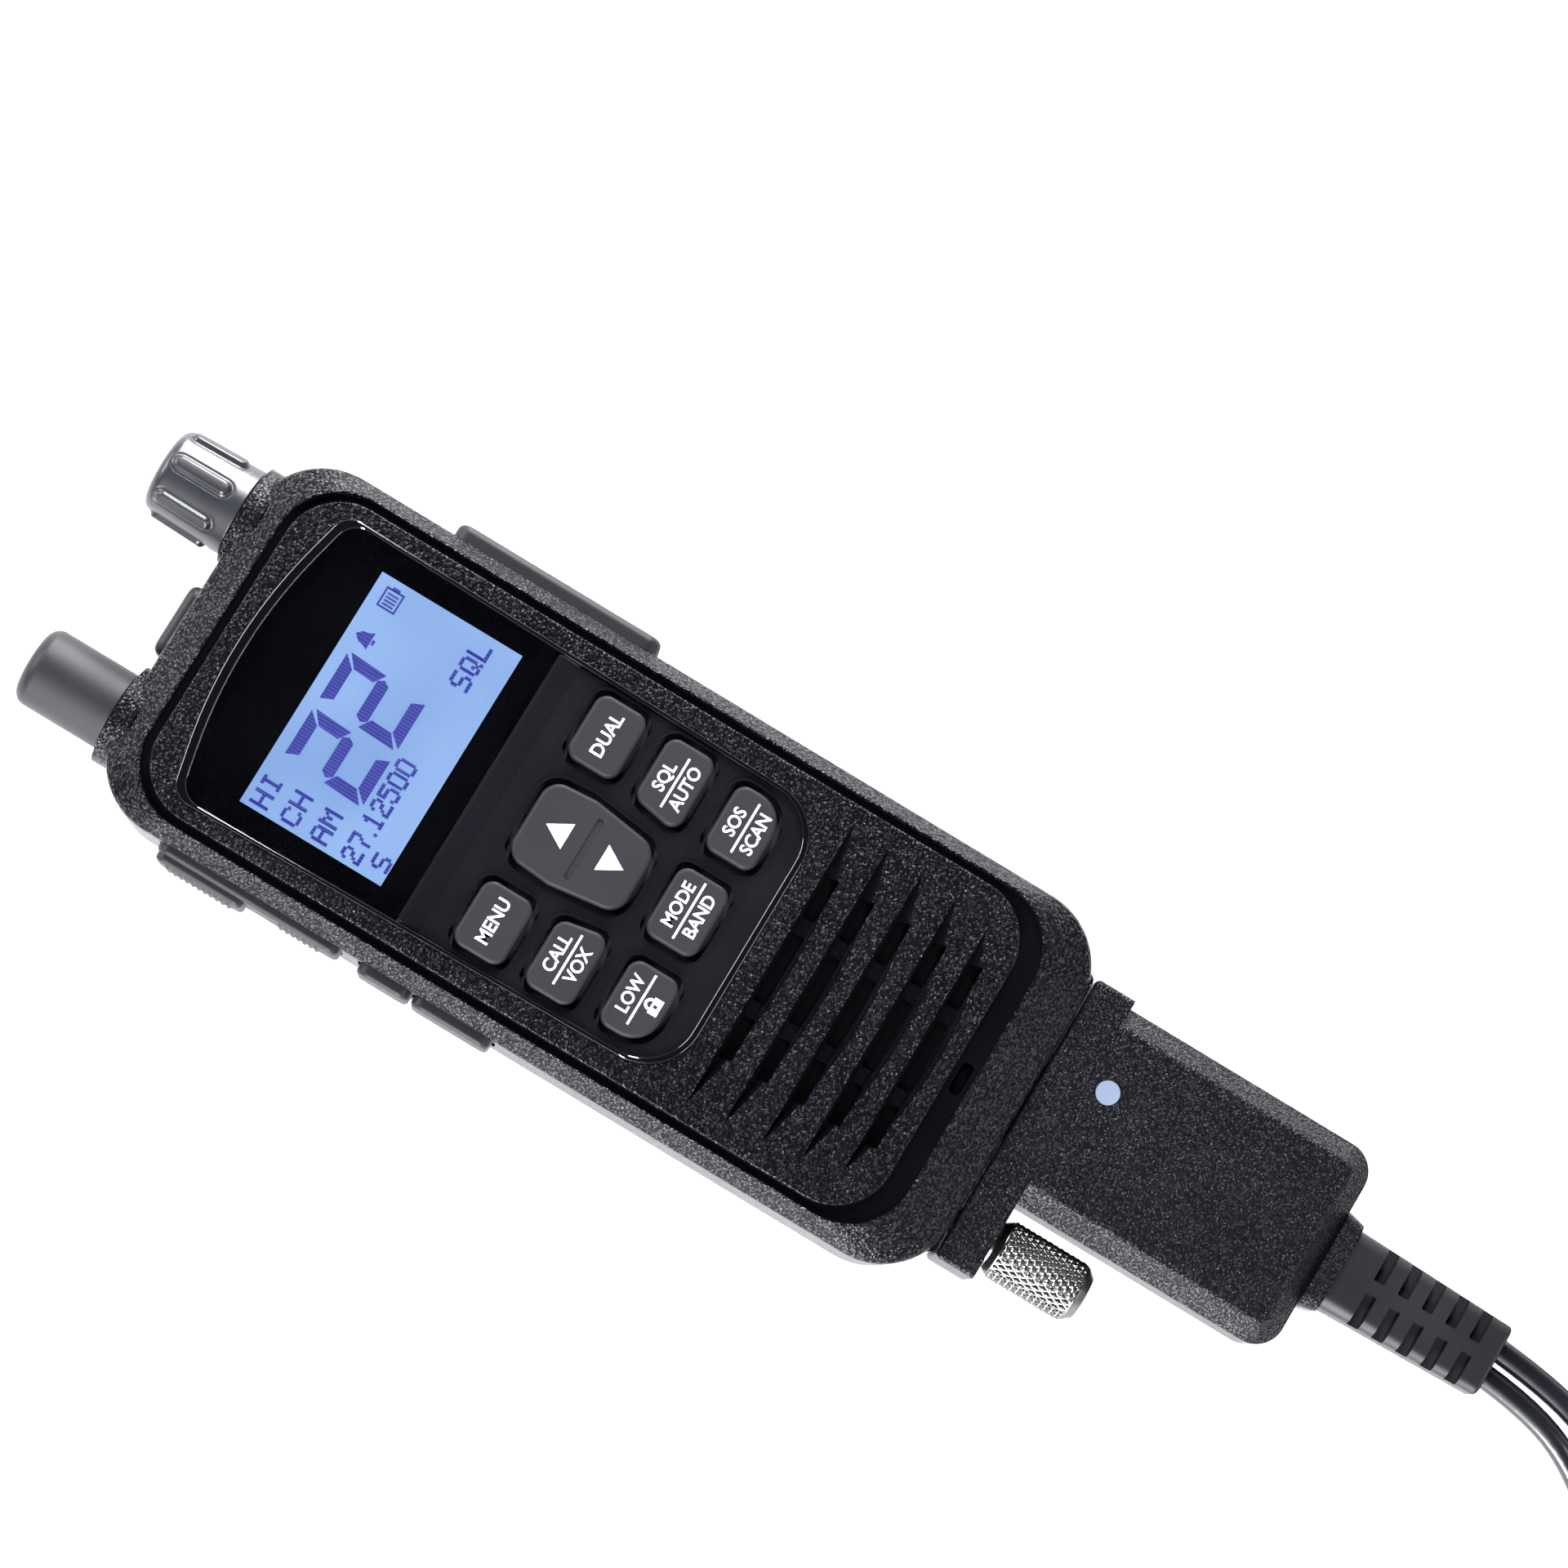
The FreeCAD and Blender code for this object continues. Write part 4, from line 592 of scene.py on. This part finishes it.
def make_display():
    under = GLASS_BACK - 0.085
    verts = []
    faces = []
    left, right, low, high = SCREEN
    screen = [(left, low), (right, low), (right, high), (left, high)]
    slab(verts, faces, screen, under, under + INK_THICK)
    panel = mesh_piece("lcd_panel_lit", verts, faces, LCD_LIT, "radio", smooth=False)

    ink = under + 0.02
    verts = []
    faces = []
    segment_digit(verts, faces, -11.3, -3.1, 103.4, 116.9, ink)
    segment_digit(verts, faces, -1.9, 6.5, 103.4, 116.9, ink)
    dotted(verts, faces, "HI", -18.8, 114.7, 0.45, 0.42, ink)
    dotted(verts, faces, "CH", -18.8, 109.8, 0.45, 0.42, ink)
    dotted(verts, faces, "AM", -18.8, 104.8, 0.45, 0.42, ink)
    dotted(verts, faces, "27.12500", -18.8, 99.4, 0.376, 0.457, ink)
    dotted(verts, faces, "SQL", 10.6, 99.2, 0.43, 0.457, ink)
    dotted(verts, faces, "S", -17.7, 95.4, 0.42, 0.4, ink)
    bell = [(8.5, 114.9), (11.3, 114.9), (10.9, 115.6), (10.7, 116.6), (10.2, 117.1),
            (9.9, 117.4), (9.6, 117.1), (9.1, 116.6), (8.9, 115.6)]
    slab(verts, faces, bell, ink, ink + INK_THICK)
    clapper = [(9.5, 114.3), (10.3, 114.3), (10.3, 114.75), (9.5, 114.75)]
    slab(verts, faces, clapper, ink, ink + INK_THICK)
    for x0, x1, y0, y1 in ((14.9, 18.1, 114.1, 114.4), (14.9, 18.1, 116.8, 117.1),
                           (14.9, 15.2, 114.1, 117.1), (17.8, 18.1, 114.1, 117.1),
                           (18.1, 18.45, 115.0, 116.2), (15.45, 15.75, 114.7, 116.5),
                           (16.0, 16.3, 114.7, 116.5), (16.55, 16.85, 114.7, 116.5),
                           (17.1, 17.4, 114.7, 116.5)):
        slab(verts, faces, [(x0, y0), (x1, y0), (x1, y1), (x0, y1)], ink, ink + INK_THICK)
    marks = mesh_piece("lcd_marks", verts, faces, LCD_INK, "radio", smooth=False)

    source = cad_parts["display_window"].data
    low_z = GLASS_BACK * MM
    high_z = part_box("display_window")[1][2]
    mask_low = under + 0.04
    mask = bpy.data.objects.new("window_mask", source.copy())
    for vert in mask.data.vertices:
        part = (vert.co.z - low_z) / (high_z - low_z)
        vert.co.z = (mask_low + part * 0.04) * MM
    mask.data.materials.clear()
    mask.data.materials.append(GLOSS)
    bpy.context.scene.collection.objects.link(mask)
    verts = []
    faces = []
    slab(verts, faces, screen, mask_low - 1, mask_low + 1)
    data = bpy.data.meshes.new("opening")
    data.from_pydata([tuple(v) for v in verts], [], faces)
    cutter = bpy.data.objects.new("opening", data)
    bpy.context.scene.collection.objects.link(cutter)
    cut = mask.modifiers.new("opening", "BOOLEAN")
    cut.operation = "DIFFERENCE"
    cut.object = cutter
    bpy.context.view_layer.update()
    seen = mask.evaluated_get(bpy.context.evaluated_depsgraph_get())
    whole = bpy.data.meshes.new_from_object(seen)
    mask.modifiers.clear()
    mask.data = whole
    bpy.data.objects.remove(cutter)
    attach(mask, "radio")


make_display()


# ---------------------------------------------------------------- key legends

KEY_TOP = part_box("key_band")[1][2] / MM


def legend(name, text, x, y, body, size=2.85, squeeze=0.93):
    """White lettering on a key's face, centred at x, y."""
    data = bpy.data.curves.new(name, "FONT")
    data.body = text
    data.size = size * MM
    data.offset = 0.045 * MM
    data.align_x = "CENTER"
    data.align_y = "CENTER"
    data.space_character = 0.98
    data.extrude = 0.008 * MM
    data.resolution_u = 4
    data.materials.append(PRINT)
    words = bpy.data.objects.new(name, data)
    bpy.context.scene.collection.objects.link(words)
    words.matrix_world = (Matrix.Translation(at(x, y, KEY_TOP + 0.02))
                          @ Matrix.Diagonal((squeeze, 1, 1, 1)))
    bpy.context.view_layer.update()
    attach(words, body)
    return words


def print_marks(name, outlines, body):
    """White printed shapes on a key's face."""
    verts = []
    faces = []
    for outline in outlines:
        slab(verts, faces, outline, KEY_TOP + 0.005, KEY_TOP + 0.028)
    return mesh_piece(name, verts, faces, PRINT, body, smooth=False)


def bar(left, right, middle):
    return [(left, middle - 0.17), (right, middle - 0.17), (right, middle + 0.17),
            (left, middle + 0.17)]


def ring_part(x, y, outer, inner, first, last, count=12):
    """The outline of part of a ring."""
    out = []
    back = []
    for i in range(count + 1):
        angle = math.radians(first + (last - first) * i / count)
        out.append((x + outer * math.cos(angle), y + outer * math.sin(angle)))
        back.append((x + inner * math.cos(angle), y + inner * math.sin(angle)))
    return out + back[::-1]


def make_legends():
    legend("word_menu", "MENU", -15.6, 78.7, "key_function")
    legend("word_dual", "DUAL", 15.7, 78.7, "key_watch")
    for body, upper, lower, x, levels, half in (
            ("key_voice", "CALL", "VOX", -14.8, (68.6, 66.85, 65.1), 4.05),
            ("key_squelch", "SQL", "AUTO", 14.95, (68.6, 66.85, 65.1), 4.05),
            ("key_band", "MODE", "BAND", 0.2, (57.35, 55.6, 53.85), 4.6),
            ("key_alert", "SOS", "SCAN", 14.6, (56.6, 54.85, 53.05), 4.05)):
        legend("word_upper_" + body, upper, x, levels[0], body, size=2.7)
        legend("word_lower_" + body, lower, x, levels[2], body, size=2.7)
        print_marks("line_" + body, [bar(x - half, x + half, levels[1])], body)
    legend("word_low", "LOW", -14.3, 56.6, "key_lock", size=2.7)
    x, y = -14.15, 51.85
    lock = [[(x - 1.25, y), (x + 1.25, y), (x + 1.25, y + 1.45), (x + 0.35, y + 1.45),
             (x + 0.22, y + 0.5), (x - 0.22, y + 0.5), (x - 0.35, y + 1.45), (x - 1.25, y + 1.45)],
            [(x - 0.3, y + 1.1), (x + 0.3, y + 1.1), (x + 0.36, y + 1.45), (x - 0.36, y + 1.45)],
            ring_part(x, y + 1.6, 0.92, 0.5, 0, 180),
            [(x - 0.92, y + 1.4), (x - 0.5, y + 1.4), (x - 0.5, y + 1.62), (x - 0.92, y + 1.62)],
            [(x + 0.5, y + 1.4), (x + 0.92, y + 1.4), (x + 0.92, y + 1.62), (x + 0.5, y + 1.62)]]
    print_marks("lock_icon", lock + [bar(-18.3, -10.2, 54.85)], "key_lock")
    print_marks("arrows", [[(-1.8, 76.0), (2.4, 76.0), (0.3, 79.6)],
                           [(0.3, 66.7), (2.4, 70.3), (-1.8, 70.3)]], "key_up_down")


make_legends()


# ---------------------------------------------------------------- controls

def make_knob():
    """The volume knob: seven raised ribs with round ends, and a soft top edge."""
    low, high = (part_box("volume_knob")[i][1] / MM - BASE_Y / MM for i in (0, 1))
    box_low, box_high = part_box("volume_knob")
    x = (box_low[0] + box_high[0]) / 2 / MM
    z = (box_low[2] + box_high[2]) / 2 / MM
    middle = low + 7.2
    reach = 3.5

    def radius_at(y, angle):
        body = 6.95 - 0.4 * (y - low) / (high - low)
        top = y - (high - 1.5)
        if top > 0:
            body -= 1.5 - math.sqrt(max(0, 1.5 ** 2 - top ** 2))
        step = 2 * math.pi / 7
        off = (angle - math.radians(7.5) + step / 2) % step - step / 2
        across = off * 6.8
        down = max(0, abs(y - middle) - reach)
        far = math.hypot(across, down)
        rib = 0.62 * (1 - ease(0.7, 1.25, far)) - 0.12 * math.exp(-((far - 1.45) / 0.22) ** 2)
        fade = 1 - ease(high - 1.2, high - 0.3, y)
        return body + rib * fade

    rows = steps(low, high - 1.5, 66) + [high - 1.5 + 1.5 * math.sin(math.pi / 16 * k)
                                         for k in range(1, 9)]
    knob = turned("volume_knob_ribbed", (x, z), rows, 294, radius_at, KNOB, "volume_knob")
    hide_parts("volume_knob")


def make_knurl():
    """The thumbscrew's diamond knurl, a sleeve on the turned head."""
    box_low, box_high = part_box("thumbscrew")
    x = (box_low[0] + box_high[0]) / 2 / MM
    z = (box_low[2] + box_high[2]) / 2 / MM
    low = (box_low[1] - BASE_Y) / MM + 1.3
    high = low + 12.7
    starts = 26

    def radius_at(y, angle):
        round_way = starts * angle / (2 * math.pi)
        ridge = 1
        for way in (1, -1):
            part = (round_way + way * (y - low) / 1.9) % 1
            ridge = min(ridge, 1 - abs(2 * part - 1) ** 1.3)
        fade = ease(low, low + 0.4, y) * (1 - ease(high - 0.4, high, y))
        return 4.33 + 0.34 * ridge * fade

    sleeve = turned("thumbscrew_knurl", (x, z), steps(low, high, 84), starts * 12, radius_at,
                    NICKEL, "thumbscrew", ends=(False, False))


def ridges(name, body, low, high, pitch, x, z_low, z_high, tall, finish):
    """A row of rounded ridges across a side key's outer face (towards -X)."""
    verts = []
    faces = []
    across = steps(low, high, int((high - low) / pitch) * 10)
    levels = [z_low, z_low + 0.5, z_low + 1, z_high - 1, z_high - 0.5, z_high]
    lift = [0, 0.7, 1, 1, 0.7, 0]
    for y in across:
        wave = math.sin(math.pi * ((y - low) / pitch % 1)) ** 0.7
        for z, part in zip(levels, lift):
            verts.append(at(x - tall * wave * part, y, z))
    count = len(levels)
    for row in range(len(across) - 1):
        for i in range(count - 1):
            first = row * count + i
            faces.append([first, first + 1, first + count + 1, first + count])
    piece = mesh_piece(name, verts, faces, finish, body)
    return piece


def make_grips():
    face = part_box("ptt_button")[0][0] / MM
    side_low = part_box("ptt_button")[0][2] / MM
    ridges("talk_ridges", "ptt_button", 112.6, 123.6, 1.0, face + 0.05, side_low + 2.5,
           side_low + 9.5, 0.45, RUBBER)
    ridges("talk_ridges_low", "ptt_button", 98.5, 105.5, 1.0, face + 1.22, side_low + 2.2,
           side_low + 9.2, 0.4, RUBBER)


def make_slope():
    """The slanted bar under the window, from the glass down to the keypad."""
    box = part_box("keypad_panel")
    level = box[1][2] / MM - 0.25
    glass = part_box("display_window")[1][2] / MM
    profile = [(90.72, level - 0.02), (90.72, glass - 0.05), (90.2, glass - 0.02),
               (87.9, level + 0.22), (87.2, level + 0.05), (87.2, level - 0.02)]
    verts = []
    faces = []
    count = len(profile)
    for x in (-22.55, -22.3, 22.3, 22.55):
        inset = 0.12 if abs(x) > 22.4 else 0
        verts += [at(x, y, max(level - 0.02, z - inset)) for y, z in profile]
    for part in range(3):
        for i in range(count):
            after = (i + 1) % count
            first = part * count
            faces.append([first + i, first + after, first + count + after, first + count + i])
    faces.append(list(range(count)))
    faces.append(list(range(3 * count, 4 * count))[::-1])
    piece = mesh_piece("window_sill", verts, faces, PANEL, "radio", smooth=False)


make_knob()
make_knurl()
make_grips()
make_slope()


# ---------------------------------------------------------------- floor and light

def make_stage():
    data = bpy.data.meshes.new("floor")
    side = 3
    data.from_pydata([(-side, -side, 0), (side, -side, 0), (side, side, 0), (-side, side, 0)], [],
                     [[0, 1, 2, 3]])
    data.materials.append(surface("floor_paper", (0.90, 0.90, 0.90), 0.7, grain=3, depth=0.01,
                                  lighter=1.03))
    floor = bpy.data.objects.new("floor", data)
    bpy.context.scene.collection.objects.link(floor)

    world = bpy.data.worlds.new("studio")
    bpy.context.scene.world = world
    world.use_nodes = True
    tree = world.node_tree
    sky = tree.nodes["Background"]
    place = tree.nodes.new("ShaderNodeTexCoord")
    split = tree.nodes.new("ShaderNodeSeparateXYZ")
    ramp = tree.nodes.new("ShaderNodeValToRGB")
    ramp.color_ramp.elements[0].position = 0.15
    ramp.color_ramp.elements[0].color = (0.94, 0.96, 1.0, 1)
    ramp.color_ramp.elements[1].position = 0.6
    ramp.color_ramp.elements[1].color = (0.010, 0.011, 0.016, 1)
    tree.links.new(place.outputs["Generated"], split.inputs["Vector"])
    tree.links.new(split.outputs["Z"], ramp.inputs["Fac"])
    tree.links.new(ramp.outputs["Color"], sky.inputs["Color"])
    sky.inputs["Strength"].default_value = 0.75


def soft_box(name, place, aim, size, power, color=(0.95, 0.97, 1)):
    data = bpy.data.lights.new(name, "AREA")
    data.shape = "RECTANGLE"
    data.size, data.size_y = size
    data.energy = power
    data.color = color
    lamp = bpy.data.objects.new(name, data)
    lamp.location = place
    lamp.rotation_euler = (Vector(aim) - Vector(place)).to_track_quat("-Z", "Y").to_euler()
    bpy.context.scene.collection.objects.link(lamp)


make_stage()
MIDDLE = at(5, 30, 20)
soft_box("box_right", (1.1, 0.35, 0.55), MIDDLE, (0.16, 1.3), 50)
soft_box("box_left", (-1.1, -0.15, 0.55), MIDDLE, (0.16, 1.3), 50)
soft_box("box_top", (0.1, 1.1, 0.75), MIDDLE, (0.9, 0.2), 18)
soft_box("box_near", (0.0, -1.2, 0.8), MIDDLE, (0.9, 0.2), 7)
